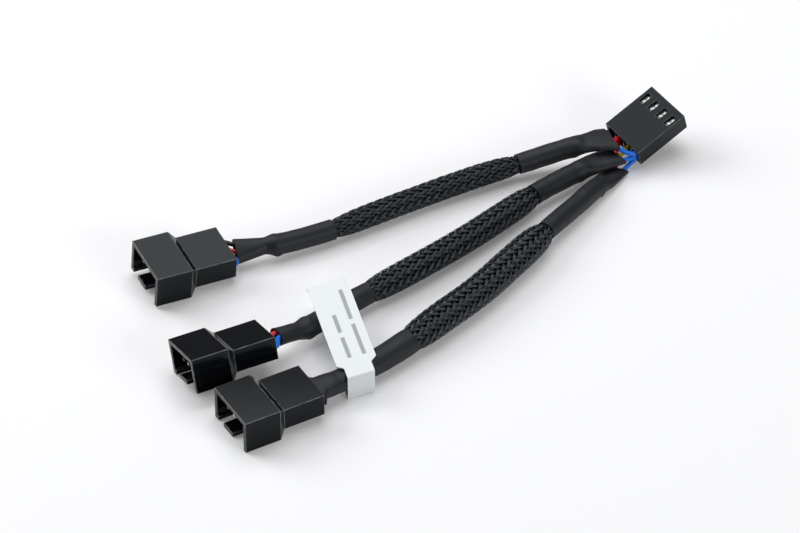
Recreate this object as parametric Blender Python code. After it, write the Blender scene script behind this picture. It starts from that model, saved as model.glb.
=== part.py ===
"""Fan splitter cable: one four-way header socket feeds three fan plugs through braided branches.

The lead lies along +X, from the plugs' open mouths to the socket's nose, on the surface z = 0.
Its origin is on that surface, under the middle of the box round the four connectors.
"""

import math

import bmesh
import bpy
import numpy as np
from mathutils import Euler, Vector

MM = 0.001

# What every connector shares
PITCH = 2.54 * MM
CIRCUITS = ("black", "red", "yellow", "blue")
CUT_MARGIN = 1.0 * MM
FIT_GAP = 0.15 * MM
SEAT_GAP = 0.30 * MM

# Wires
WIRE_DIAMETER = 0.96 * MM
WIRE_GAP = 0.12 * MM
WIRE_STEP = 3.4 * MM
WIRE_END_REACH = 10.0 * MM
WIRE_END_POINTS = 9
WIRE_LEAD = 0.5 * MM

# Fan plug: wide shroud, sloped step and narrower rear body, measured from the rear face
SHROUD_WIDTH = 12.25 * MM
SHROUD_HEIGHT = 7.1 * MM
SHROUD_LENGTH = 7.55 * MM
STEP_LENGTH = 1.25 * MM
REAR_LENGTH = 8.7 * MM
REAR_WIDTH = 10.16 * MM
REAR_FLOOR = 1.3 * MM
REAR_BODY_HEIGHT = 4.7 * MM
SIDE_WALL = 0.95 * MM
TOP_WALL = 0.8 * MM
FLOOR_WALL = 0.9 * MM
WELL_PAST_SHROUD = 0.4 * MM
KEY_SLOT_LENGTH = 5.8 * MM
FAR_LIP = 1.45 * MM
FAR_SLOT_WIDTH = 1.9 * MM
TONGUE_WIDTH = 3.7 * MM
PIN_HEIGHT = 3.2 * MM
PIN_RECESS = 1.55 * MM
PLUG_EDGE = 0.2 * MM

# Pin contact and the channel that holds it
PIN_SIDE = 0.64 * MM
CHANNEL_WIDTH = 1.95 * MM
CHANNEL_HEIGHT = 2.1 * MM
PIN_BODY_START = 2.3 * MM
PIN_BODY_LENGTH = 5.6 * MM
CRIMP_LENGTH = 2.5 * MM
CRIMP_WALL = 0.2 * MM

# Header socket: body, windows, keying ribs, measured from the rear face
SOCKET_LENGTH = 12.4 * MM
MATING_GAP = 0.095 * MM
SOCKET_BODY_HEIGHT = 4.3 * MM
SOCKET_EDGE = 0.2 * MM
NOSE_WALL = 1.0 * MM
CAVITY_WIDTH = 1.95 * MM
CAVITY_HEIGHT = 3.35 * MM
PIN_ENTRY = 1.1 * MM
WINDOW_WIDTH = 1.15 * MM
WINDOW_LENGTH = 2.4 * MM
WINDOW_FROM_NOSE = 1.6 * MM
RIB_HEIGHT = 1.2 * MM
RIB_WIDTH = 1.1 * MM
RIB_EMBED = 0.2 * MM

# Crimp contact inside the socket
RECEPTACLE_LENGTH = 6.6 * MM
RECEPTACLE_HEIGHT = 2.5 * MM
RECEPTACLE_BORE = 0.9 * MM
RECEPTACLE_BORE_DEPTH = 5.6 * MM
NECK_LENGTH = 1.6 * MM
NECK_WIDTH = 1.2 * MM
NECK_HEIGHT = 2.9 * MM
LANCE_LENGTH = 1.7 * MM
LANCE_WIDTH = 0.6 * MM
LANCE_RISE = 0.45 * MM

# Where each connector's rear face lies in plan, and its roll, pitch and yaw in degrees
PLUG_PLACES = (
    ((-39.29 * MM, 23.19 * MM), (4.34, 2.63, 1.78)),
    ((-43.15 * MM, -8.2 * MM), (-16.9, -1.6, 0.8)),
    ((-40.5 * MM, -22.05 * MM), (0.0, 0.0, 5.5)),
)
SOCKET_PLACE = ((47.9 * MM, 22.5 * MM), (9.85, -20.5, 11.0))

# Tubes round the wires
SHRINK_WALL = 0.3 * MM
SLEEVE_WALL = 0.32 * MM
SLEEVE_TUCK = 3.2 * MM
SLEEVE_RELAX = 2.2 * MM
SLEEVE_STATIONS = (0.8 * MM, 2.2 * MM, 5.0 * MM)
SHRINK_STEP = 2.2 * MM
MOUTH_STATIONS = (0.5 * MM, 1.1 * MM)
SLEEVE_STEP = 6.0 * MM
TUBE_SIDES = 12
PLUG_BUNDLE_REACH = 5.0 * MM
SOCKET_ROW_END = 3.5 * MM
SOCKET_BUNDLE_START = 8.5 * MM
BUNDLE_STATIONS = 16
LEVEL_BLEND = 11.0 * MM
DIRECTION_REACH = 0.5 * MM
POINTS_PER_SPAN = 24

# Folded paper label
LABEL_THICKNESS = 0.2 * MM
LABEL_CROSSINGS = (15.2 * MM, 10.2 * MM)
LABEL_WIDTH = 8.2 * MM
TAIL_WIDTH = 5.6 * MM
LABEL_FAR_REACH = 2.6 * MM
LABEL_NEAR_REACH = 0.9 * MM
LABEL_GAP = 0.2 * MM
SHOULDER_LENGTH = 1.5 * MM
SHOULDER_FROM_CREASE = 4.2 * MM

# Each branch, from its plug to the socket: the route's points, the tubes' lengths along it and their sizes
BRANCHES = (
    {
        "circuits": ("black", "red", "blue"),
        "route": (
            (-36.75, 22.6, 3.2),
            (-31.2, 22.2, 3.0),
            (-27.5, 21.8, 2.75),
            (-17.3, 22.0, 2.5),
            (-5.9, 23.4, 2.5),
            (9.0, 25.0, 2.5),
            (18.0, 25.5, 2.7),
            (26.0, 25.3, 3.0),
            (34.3, 24.4, 4.2),
            (38.8, 23.3, 5.15),
            (41.5, 22.6, 5.3),
            (44.0, 21.9, 5.1),
        ),
        "outer_shrink": 20.0 * MM,
        "inner_shrink": 19.3 * MM,
        "outer_profile": ((0.0, 5.3, 2.5), (5.6, 3.4, 3.2), (7.4, 4.4, 4.0), (10.0, 4.2, 4.2)),
        "inner_profile": ((0.0, 5.6, 1.8), (3.0, 5.4, 1.8), (5.5, 4.8, 2.6), (8.0, 4.3, 4.1)),
        "sleeve": (4.75 * MM, 4.75 * MM),
        "mouth_roll": 30.0,
        "wires_from": 0.0,
        "plug_row": (1.6 * MM, 1.0 * MM, 5.0 * MM),
        "socket_row": (1.75 * MM, SOCKET_ROW_END, SOCKET_BUNDLE_START),
        "level": 1,
    },
    {
        "circuits": ("black", "red", "yellow", "blue"),
        "route": (
            (-41.1, -6.6, 5.0),
            (-37.8, -5.9, 4.4),
            (-34.2, -4.8, 3.5),
            (-30.4, -3.1, 2.8),
            (-21.7, -0.1, 2.7),
            (-7.2, 3.9, 2.85),
            (4.9, 7.7, 2.85),
            (17.4, 12.5, 2.85),
            (25.1, 15.5, 2.9),
            (30.6, 17.0, 3.0),
            (37.5, 18.6, 3.15),
            (41.0, 19.1, 3.2),
            (43.8, 19.4, 3.0),
        ),
        "outer_shrink": 24.0 * MM,
        "inner_shrink": 20.6 * MM,
        "outer_profile": (
            (0.0, 4.1, 3.1),
            (2.5, 3.7, 3.2),
            (5.5, 3.7, 3.4),
            (10.0, 4.3, 4.2),
            (14.0, 4.5, 4.3),
        ),
        "inner_profile": ((0.0, 5.5, 1.8), (3.5, 5.5, 1.9), (5.5, 5.2, 2.6), (8.5, 4.2, 4.2)),
        "sleeve": (5.5 * MM, 5.5 * MM),
        "mouth_roll": 0.0,
        "wires_from": 0.0,
        "plug_row": (1.27 * MM, -3.0 * MM, 1.5 * MM),
        "socket_row": (1.22 * MM, SOCKET_ROW_END, SOCKET_BUNDLE_START),
        "level": 0,
    },
    {
        "circuits": ("black", "red", "blue"),
        "route": (
            (-39.9, -21.99, 3.2),
            (-38.5, -21.8, 3.2),
            (-34.0, -21.0, 2.9),
            (-26.2, -18.9, 2.75),
            (-18.5, -16.3, 2.9),
            (-8.9, -12.2, 3.1),
            (0.8, -7.9, 3.05),
            (11.5, -1.9, 3.05),
            (22.9, 4.7, 2.95),
            (31.2, 9.6, 2.4),
            (36.8, 13.2, 1.9),
            (39.5, 14.9, 1.3),
            (42.8, 17.2, 0.95),
        ),
        "outer_shrink": 23.4 * MM,
        "inner_shrink": 26.0 * MM,
        "outer_profile": (
            (0.0, 8.9, 2.5),
            (0.5, 7.6, 2.5),
            (1.1, 5.7, 3.0),
            (7.4, 4.8, 3.9),
            (13.4, 5.0, 4.4),
            (19.4, 5.3, 4.6),
        ),
        "inner_profile": ((0.0, 4.8, 1.8), (3.5, 4.5, 1.9), (5.5, 4.1, 2.6), (8.5, 4.1, 4.1)),
        "sleeve": (6.6 * MM, 5.8 * MM),
        "mouth_roll": 0.0,
        "wires_from": 1.4 * MM,
        "plug_row": (1.6 * MM, 2.4 * MM, 6.4 * MM),
        "socket_row": (1.22 * MM, SOCKET_ROW_END, SOCKET_BUNDLE_START),
        "level": -1,
    },
)

WIRE_COLOURS = {
    "black": (0.012, 0.012, 0.013),
    "red": (0.62, 0.02, 0.025),
    "yellow": (0.62, 0.40, 0.02),
    "blue": (0.01, 0.16, 0.78),
}

PLUG_LENGTH = SHROUD_LENGTH + STEP_LENGTH + REAR_LENGTH
WELL_DEPTH = SHROUD_LENGTH + WELL_PAST_SHROUD
SOCKET_WIDTH = SHROUD_WIDTH - 2 * (SIDE_WALL + MATING_GAP)
SOCKET_CENTRE = SOCKET_BODY_HEIGHT / 2
RECEPTACLE_FRONT = SOCKET_LENGTH - NOSE_WALL - SEAT_GAP
NECK_REAR = RECEPTACLE_FRONT - RECEPTACLE_LENGTH - NECK_LENGTH
WIRE_PITCH = WIRE_DIAMETER + WIRE_GAP


def material(name, colour, roughness, metallic=0.0):
    made = bpy.data.materials.new(name)
    made.use_nodes = True
    shader = made.node_tree.nodes["Principled BSDF"]
    shader.inputs["Base Color"].default_value = (*colour, 1.0)
    shader.inputs["Roughness"].default_value = roughness
    shader.inputs["Metallic"].default_value = metallic
    made.diffuse_color = (*colour, 1.0)
    return made


def add_object(name, data, finish):
    made = bpy.data.objects.new(name, data)
    if not data.materials:
        data.materials.append(finish)
    bpy.context.scene.collection.objects.link(made)
    return made


def mesh_from(name, points, faces):
    """A mesh whose faces all point outwards."""
    shape = bmesh.new()
    corners = [shape.verts.new(point) for point in points]
    for face in faces:
        shape.faces.new([corners[index] for index in face])
    bmesh.ops.recalc_face_normals(shape, faces=shape.faces)
    data = bpy.data.meshes.new(name)
    shape.to_mesh(data)
    shape.free()
    return data


def bands(ring_count, sides, first=0, flip=False):
    """Quads that join each ring of points to the next."""
    found = []
    for ring in range(ring_count - 1):
        for side in range(sides):
            after = (side + 1) % sides
            low = first + ring * sides
            quad = [low + side, low + after, low + sides + after, low + sides + side]
            found.append(quad[::-1] if flip else quad)
    return found


def lofted(name, rings):
    """A solid through rings of points, closed by its first and last ring."""
    sides = len(rings[0])
    faces = bands(len(rings), sides)
    faces.append(list(range(sides)))
    faces.append([(len(rings) - 1) * sides + side for side in range(sides)])
    return mesh_from(name, [point for ring in rings for point in ring], faces)


def hollow(name, outer, inner):
    """A tube with open ends, through outer and inner rings of points."""
    sides, count = len(outer[0]), len(outer)
    inside = count * sides
    faces = bands(count, sides) + bands(count, sides, first=inside, flip=True)
    for ring in (0, count - 1):
        for side in range(sides):
            after = (side + 1) % sides
            base = ring * sides
            faces.append([base + side, base + after, inside + base + after, inside + base + side])
    return mesh_from(name, [point for ring in outer + inner for point in ring], faces)


def box(name, low, high):
    rings = [
        [(x, low[1], low[2]), (x, high[1], low[2]), (x, high[1], high[2]), (x, low[1], high[2])]
        for x in (low[0], high[0])
    ]
    return lofted(name, rings)


def block(name, x_span, y_centre, width, z_span):
    """A box given by its run along X, its middle and width across, and its span in height."""
    low = (x_span[0], y_centre - width / 2, z_span[0])
    high = (x_span[1], y_centre + width / 2, z_span[1])
    return box(name, low, high)


def carved(name, base, cuts=(), adds=(), edge=0.0):
    """One mesh made of a base mesh with its edges eased, with some meshes cut away and others joined on."""
    body = bpy.data.objects.new(name, base)
    bpy.context.scene.collection.objects.link(body)
    if edge:
        ease = body.modifiers.new("ease", "BEVEL")
        ease.width = edge
        ease.segments = 1
        ease.limit_method = "ANGLE"
        ease.angle_limit = math.radians(40)
    tools = []
    for operation, shapes in (("DIFFERENCE", cuts), ("UNION", adds)):
        for shape in shapes:
            tool = bpy.data.objects.new(name + "_tool", shape)
            bpy.context.scene.collection.objects.link(tool)
            tool.hide_render = True
            tool.display_type = "WIRE"
            step = body.modifiers.new(operation.lower(), "BOOLEAN")
            step.operation = operation
            step.solver = "EXACT"
            step.object = tool
            tools.append(tool)
    bpy.context.view_layer.update()
    graph = bpy.context.evaluated_depsgraph_get()
    finished = bpy.data.meshes.new_from_object(body.evaluated_get(graph))
    finished.name = name
    for helper in (body, *tools):
        bpy.data.objects.remove(helper)
    return finished


def contact_offset(circuit):
    """How far across a connector a circuit's contact is; the first circuit is on the far side."""
    return ((len(CIRCUITS) - 1) / 2 - CIRCUITS.index(circuit)) * PITCH


def plug_housing_mesh():
    step_front = -(REAR_LENGTH + STEP_LENGTH)
    wide = (SHROUD_WIDTH, 0.0, SHROUD_HEIGHT)
    narrow = (REAR_WIDTH, REAR_FLOOR, REAR_FLOOR + REAR_BODY_HEIGHT)
    sections = ((-PLUG_LENGTH, wide), (step_front, wide), (-REAR_LENGTH, narrow), (0.0, narrow))
    rings = []
    for x, (width, floor, top) in sections:
        half = width / 2
        rings.append([(x, -half, floor), (x, half, floor), (x, half, top), (x, -half, top)])
    mouth = -PLUG_LENGTH - CUT_MARGIN
    well_end = -PLUG_LENGTH + WELL_DEPTH
    slot_end = -PLUG_LENGTH + KEY_SLOT_LENGTH
    slot_top = FLOOR_WALL + CUT_MARGIN
    inner_width = SHROUD_WIDTH - 2 * SIDE_WALL
    well = block("well", (mouth, well_end), 0.0, inner_width, (FLOOR_WALL, SHROUD_HEIGHT - TOP_WALL))
    far_slot_edge = SHROUD_WIDTH / 2 - FAR_LIP
    near_slot_edge = far_slot_edge - FAR_SLOT_WIDTH - TONGUE_WIDTH
    near_slot_width = near_slot_edge + inner_width / 2
    cuts = [well]
    for edge, width in ((far_slot_edge, FAR_SLOT_WIDTH), (near_slot_edge, near_slot_width)):
        cuts.append(block("slot", (mouth, slot_end), edge - width / 2, width, (-CUT_MARGIN, slot_top)))
    low, high = PIN_HEIGHT - CHANNEL_HEIGHT / 2, PIN_HEIGHT + CHANNEL_HEIGHT / 2
    for circuit in CIRCUITS:
        channel_run = (well_end - CUT_MARGIN, CUT_MARGIN)
        cuts.append(block("channel", channel_run, contact_offset(circuit), CHANNEL_WIDTH, (low, high)))
    return carved("plug_housing", lofted("plug_outer", rings), cuts, edge=PLUG_EDGE)


def pin_contact_mesh():
    """A square pin on a body whose rear end wraps the wire; the wire's axis is the line y = z = 0."""
    side = CHANNEL_WIDTH - 2 * FIT_GAP
    body_rear = -PIN_BODY_START
    body_front = body_rear - PIN_BODY_LENGTH
    floor = -WIRE_DIAMETER / 2 - WIRE_GAP
    body = block("pin_body", (body_front, body_rear), 0.0, side, (floor - CRIMP_WALL, -floor))
    trough_run = (body_rear - CRIMP_LENGTH, body_rear + CUT_MARGIN)
    trough = block("trough", trough_run, 0.0, side - 2 * CRIMP_WALL, (floor, -floor + CUT_MARGIN))
    pin_run = (-PLUG_LENGTH + PIN_RECESS, body_front + CUT_MARGIN)
    pin = block("pin", pin_run, 0.0, PIN_SIDE, (-PIN_SIDE / 2, PIN_SIDE / 2))
    return carved("pin_contact", body, [trough], [pin])


def rib_offsets():
    """The ribs stand on each side of a header's tongue, so they follow the plug's key slots."""
    far_slot_edge = SHROUD_WIDTH / 2 - FAR_LIP
    tongue_near = far_slot_edge - FAR_SLOT_WIDTH - TONGUE_WIDTH
    return far_slot_edge - FAR_SLOT_WIDTH / 2, tongue_near - SEAT_GAP - RIB_WIDTH / 2


def socket_housing_mesh():
    body = block("socket_body", (0.0, SOCKET_LENGTH), 0.0, SOCKET_WIDTH, (0.0, SOCKET_BODY_HEIGHT))
    cuts = []
    cavity_span = (SOCKET_CENTRE - CAVITY_HEIGHT / 2, SOCKET_CENTRE + CAVITY_HEIGHT / 2)
    entry_span = (SOCKET_CENTRE - PIN_ENTRY / 2, SOCKET_CENTRE + PIN_ENTRY / 2)
    window_end = SOCKET_LENGTH - WINDOW_FROM_NOSE
    for circuit in CIRCUITS:
        across = contact_offset(circuit)
        cavity_run = (-CUT_MARGIN, SOCKET_LENGTH - NOSE_WALL)
        cuts.append(block("cavity", cavity_run, across, CAVITY_WIDTH, cavity_span))
        entry_run = (SOCKET_LENGTH - NOSE_WALL - CUT_MARGIN, SOCKET_LENGTH + CUT_MARGIN)
        cuts.append(block("entry", entry_run, across, PIN_ENTRY, entry_span))
        window_run = (window_end - WINDOW_LENGTH, window_end)
        window_span = (SOCKET_CENTRE, SOCKET_BODY_HEIGHT + CUT_MARGIN)
        cuts.append(block("window", window_run, across, WINDOW_WIDTH, window_span))
    ribs = [
        block("rib", (0.0, SOCKET_LENGTH), across, RIB_WIDTH, (-RIB_HEIGHT, RIB_EMBED))
        for across in rib_offsets()
    ]
    return carved("socket_housing", body, cuts, ribs, edge=SOCKET_EDGE)


def crimp_contact_mesh():
    """A box receptacle with a bore for the pin, a lance that springs into the window, and a neck."""
    width = CAVITY_WIDTH - 2 * FIT_GAP
    rear = RECEPTACLE_FRONT - RECEPTACLE_LENGTH
    top = RECEPTACLE_HEIGHT / 2
    body = block("receptacle", (rear, RECEPTACLE_FRONT), 0.0, width, (-top, top))
    bore_run = (RECEPTACLE_FRONT - RECEPTACLE_BORE_DEPTH, RECEPTACLE_FRONT + CUT_MARGIN)
    half_bore = RECEPTACLE_BORE / 2
    bore = block("bore", bore_run, 0.0, RECEPTACLE_BORE, (-half_bore, half_bore))
    half_neck = NECK_HEIGHT / 2
    neck_run = (NECK_REAR, rear + CRIMP_WALL)
    neck = block("neck", neck_run, 0.0, NECK_WIDTH, (-half_neck, half_neck))
    lance_front = SOCKET_LENGTH - WINDOW_FROM_NOSE - SEAT_GAP
    lance_rear = lance_front - LANCE_LENGTH
    half, root = LANCE_WIDTH / 2, top - CRIMP_WALL
    lance = lofted(
        "lance",
        [
            [(lance_front, y, root), (lance_rear, y, root), (lance_rear, y, top + LANCE_RISE)]
            for y in (-half, half)
        ],
    )
    return carved("crimp_contact", body, [bore], [neck, lance])


def resting(mesh, place, angles):
    """The turn and the place that set a mesh down on z = 0 at a place in plan."""
    turn = Euler([math.radians(angle) for angle in angles], "XYZ").to_matrix()
    lift = -min((turn @ vertex.co).z for vertex in mesh.vertices)
    return turn, Vector((place[0], place[1], lift))


def set_down(obj, pose, local=(0.0, 0.0, 0.0)):
    turn, place = pose
    obj.rotation_euler = turn.to_euler()
    obj.location = place + turn @ Vector(local)


def in_world(pose, local):
    turn, place = pose
    return np.array(place + turn @ Vector(local))


def mouth_side(pose, roll):
    """The direction across a shrink tube's mouth: level and square to its plug, then rolled."""
    level = pose[0] @ Vector((0.0, 1.0, 0.0))
    level.z = 0.0
    angle = math.radians(roll)
    return np.array(level.normalized() * math.cos(angle) + Vector((0.0, 0.0, math.sin(angle))))


def between(first, second, low, high, t):
    """The point at t on the line through the first point, at low, and the second, at high."""
    share = (t - low) / (high - low)
    return first * (1 - share) + second * share


def smooth_points(points):
    """Points along one smooth curve through the given ones, spaced by the root of their distances."""
    given = np.asarray(points, float)
    whole = np.vstack([2 * given[0] - given[1], given, 2 * given[-1] - given[-2]])
    found = []
    for index in range(1, len(whole) - 2):
        four = whole[index - 1 : index + 3]
        gaps = np.sqrt(np.linalg.norm(np.diff(four, axis=0), axis=1))
        knots = np.concatenate([[0.0], np.cumsum(gaps)])
        for t in np.linspace(knots[1], knots[2], POINTS_PER_SPAN, endpoint=False):
            first = [between(four[i], four[i + 1], knots[i], knots[i + 1], t) for i in range(3)]
            second = [between(first[i], first[i + 1], knots[i], knots[i + 2], t) for i in range(2)]
            found.append(between(second[0], second[1], knots[1], knots[2], t))
    found.append(given[-1])
    return np.array(found)


class Line:
    """A smooth line through some points, with a distance along it."""

    def __init__(self, points):
        self.points = smooth_points(points)
        steps = np.linalg.norm(np.diff(self.points, axis=0), axis=1)
        self.distance = np.concatenate([[0.0], np.cumsum(steps)])
        self.length = self.distance[-1]

    def at(self, distance):
        """The point at a distance along the line, which runs on straight past either end."""
        inside = min(max(distance, 0.0), self.length)
        point = np.array([np.interp(inside, self.distance, self.points[:, k]) for k in range(3)])
        last = self.points[-1] - self.points[-2] if distance > 0 else self.points[1] - self.points[0]
        return point + last / np.linalg.norm(last) * (distance - inside)


class Route(Line):
    """A branch's line from its plug to the socket, with the directions across it."""

    def __init__(self, points, plug_side, socket_side):
        super().__init__(points)
        self.plug_side = plug_side
        self.socket_side = socket_side

    def frame(self, distance):
        """The directions to the far side and upwards, which turn to a connector's near each end."""
        ahead = self.at(distance + DIRECTION_REACH) - self.at(distance - DIRECTION_REACH)
        ahead /= np.linalg.norm(ahead)
        side = np.cross((0.0, 0.0, 1.0), ahead)
        side /= np.linalg.norm(side)
        ends = ((self.plug_side, distance), (self.socket_side, self.length - distance))
        for connector_side, inside in ends:
            share = smooth_step((LEVEL_BLEND - inside) / LEVEL_BLEND)
            side = side * (1 - share) + connector_side * share
        side -= ahead * (side @ ahead)
        side /= np.linalg.norm(side)
        return side, np.cross(ahead, side)

    def ring(self, distance, width, height):
        centre = self.at(distance)
        side, up = self.frame(distance)
        flat = (width - height) / 2
        found = []
        for step in range(TUBE_SIDES):
            angle = 2 * math.pi * step / TUBE_SIDES
            across, over = math.cos(angle) * height / 2, math.sin(angle) * height / 2
            if 4 * step % TUBE_SIDES or not 4 * step // TUBE_SIDES % 2:
                across += math.copysign(flat, across)
            found.append(tuple(centre + side * across + up * over))
        return found


def smooth_step(share):
    share = min(max(share, 0.0), 1.0)
    return share * share * (3 - 2 * share)


def read_profile(profile, distance):
    """A tube's width and height at a distance from its start."""
    stations = [row[0] for row in profile]
    return tuple(float(np.interp(distance, stations, [row[k] for row in profile])) for k in (1, 2))


def spaced(start, end, step, from_ends=()):
    """Even distances from start to end, with more at the given distances from each end."""
    found = set(np.linspace(start, end, max(4, round((end - start) / step) + 1)))
    if from_ends:
        found = set(np.linspace(start + from_ends[-1], end - from_ends[-1], len(found)))
        found |= {start, end}
        for inside in from_ends:
            found |= {start + inside, end - inside}
    return sorted(found)


def tube_along(name, route, distances, size_at, wall):
    """A hollow tube along a route, with its size given by distance along it."""
    outer, inner = [], []
    for distance in distances:
        width, height = size_at(distance)
        outer.append(route.ring(distance, width, height))
        inner.append(route.ring(distance, width - 2 * wall, height - 2 * wall))
    return hollow(name, outer, inner)


def outer_shrink_size(branch, distance):
    profile = [(at * MM, width * MM, height * MM) for at, width, height in branch["outer_profile"]]
    return read_profile(profile, distance)


def inner_shrink_size(branch, route, distance):
    """Round at the sleeve, and flat near the socket, where the wires lie in a row."""
    profile = [(at * MM, width * MM, height * MM) for at, width, height in branch["inner_profile"]]
    return read_profile(profile, route.length - distance)


def sleeve_size(branch, route, span, distance):
    """Full width along the branch, drawn in where a shrink tube grips each end."""
    full_width, full_height = branch["sleeve"]
    at_plug = outer_shrink_size(branch, branch["outer_shrink"])
    gripped = 2 * (SHRINK_WALL + FIT_GAP)
    at_socket = inner_shrink_size(branch, route, route.length - branch["inner_shrink"])
    ends = ((at_plug, distance - span[0]), (at_socket, span[1] - distance))
    width, height = full_width, full_height
    for (shrink_width, shrink_height), inside in ends:
        share = 1 - math.exp(-max(inside - SLEEVE_TUCK, 0.0) / SLEEVE_RELAX)
        width = min(width, (shrink_width - gripped) * (1 - share) + full_width * share)
        height = min(height, (shrink_height - gripped) * (1 - share) + full_height * share)
    return width, height


def branch_tubes(number, branch, route):
    """The shrink tube at the plug, the shrink tube at the socket and the braided sleeve between them."""
    outer_span = (0.0, branch["outer_shrink"])
    inner_span = (route.length - branch["inner_shrink"], route.length)
    sleeve_span = (outer_span[1] - SLEEVE_TUCK, inner_span[0] + SLEEVE_TUCK)

    def outer_size(distance):
        return outer_shrink_size(branch, distance)

    def inner_size(distance):
        return inner_shrink_size(branch, route, distance)

    def braid_size(distance):
        return sleeve_size(branch, route, sleeve_span, distance)

    outer_places = sorted({*spaced(*outer_span, SHRINK_STEP), *MOUTH_STATIONS})
    inner_places = spaced(*inner_span, SHRINK_STEP)
    drawn_in = (SLEEVE_TUCK, *(SLEEVE_TUCK + further for further in SLEEVE_STATIONS))
    sleeve_places = spaced(*sleeve_span, SLEEVE_STEP, drawn_in)
    return (
        tube_along(f"outer_shrink_{number}", route, outer_places, outer_size, SHRINK_WALL),
        tube_along(f"inner_shrink_{number}", route, inner_places, inner_size, SHRINK_WALL),
        tube_along(f"sleeve_{number}", route, sleeve_places, braid_size, SLEEVE_WALL),
    )


def bundle_offset(index, count):
    """Where a wire lies in a round bundle: across towards the far side, and up."""
    if count == 4:
        half = WIRE_PITCH / 2
        return ((half, -half), (half, half), (-half, -half), (-half, half))[index]
    radius = WIRE_PITCH / math.sqrt(3)
    angle = math.radians((-30.0, 90.0, 210.0)[index])
    return radius * math.cos(angle), radius * math.sin(angle)


def row_offset(index, count, pitch):
    return ((count - 1) / 2 - index) * pitch


def wire_offset(branch, route, index, distance):
    """A wire runs in a flat row near each connector; it steps up or down first, and then across."""
    count = len(branch["circuits"])
    across, over = bundle_offset(index, count)
    for row, inside in (("plug_row", distance), ("socket_row", route.length - distance)):
        pitch, row_end, bundle_start = branch[row]
        share = smooth_step((inside - row_end) / (bundle_start - row_end))
        across = across * share + row_offset(index, count, pitch) * (1 - share)
        over *= 1 - (1 - share) ** 3
    return across, over


def wire_points(branch, route, index, plug_pose, socket_pose):
    """A wire's own points, from the crimp in its plug to the neck of its contact in the socket."""
    circuit = branch["circuits"][index]
    across = contact_offset(circuit)
    wire_start = -PIN_BODY_START - CRIMP_LENGTH + SEAT_GAP
    play = (CHANNEL_WIDTH - WIRE_DIAMETER) / 2 - FIT_GAP
    eased = across - math.copysign(play, across)
    straight = [(wire_start, across), (wire_start / 2, across)]
    towards_middle = [(-PIN_BODY_START / 2, eased), (WIRE_LEAD, eased)]
    points = [in_world(plug_pose, (x, y, PIN_HEIGHT)) for x, y in straight + towards_middle]
    first, bundled = branch["wires_from"], branch["wires_from"] + PLUG_BUNDLE_REACH
    near_plug = [first - WIRE_LEAD, *np.linspace(first, bundled, 5, endpoint=False)]
    middle = np.linspace(bundled, route.length - SOCKET_BUNDLE_START, BUNDLE_STATIONS)
    near_socket = route.length - np.linspace(0.0, SOCKET_BUNDLE_START, 7, endpoint=False)[::-1]
    for distance in (*near_plug, *middle, *near_socket, route.length + WIRE_LEAD):
        side, up = route.frame(distance)
        offset, over = wire_offset(branch, route, index, distance)
        points.append(route.at(distance) + side * offset + up * over)
    height = SOCKET_CENTRE + branch["level"] * WIRE_PITCH
    wire_end = NECK_REAR - SEAT_GAP
    for x in (-WIRE_LEAD, wire_end / 2, wire_end):
        points.append(in_world(socket_pose, (x, across, height)))
    return points


def add_wire(name, points, finish):
    """A round wire whose points lie closer together near its ends, where it bends most."""
    line = Line(points)
    count = round((line.length - 2 * WIRE_END_REACH) / WIRE_STEP) + 1
    middle = np.linspace(WIRE_END_REACH, line.length - WIRE_END_REACH, count)
    end = np.linspace(0.0, WIRE_END_REACH, WIRE_END_POINTS, endpoint=False)
    distances = np.concatenate([end, middle, line.length - end[::-1]])
    curve = bpy.data.curves.new(name, "CURVE")
    curve.dimensions = "3D"
    curve.bevel_depth = WIRE_DIAMETER / 2
    curve.bevel_resolution = 2
    curve.use_fill_caps = True
    spline = curve.splines.new("POLY")
    spline.points.add(len(distances) - 1)
    for point, distance in zip(spline.points, distances):
        point.co = (*line.at(distance), 1.0)
    return add_object(name, curve, finish)


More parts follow.
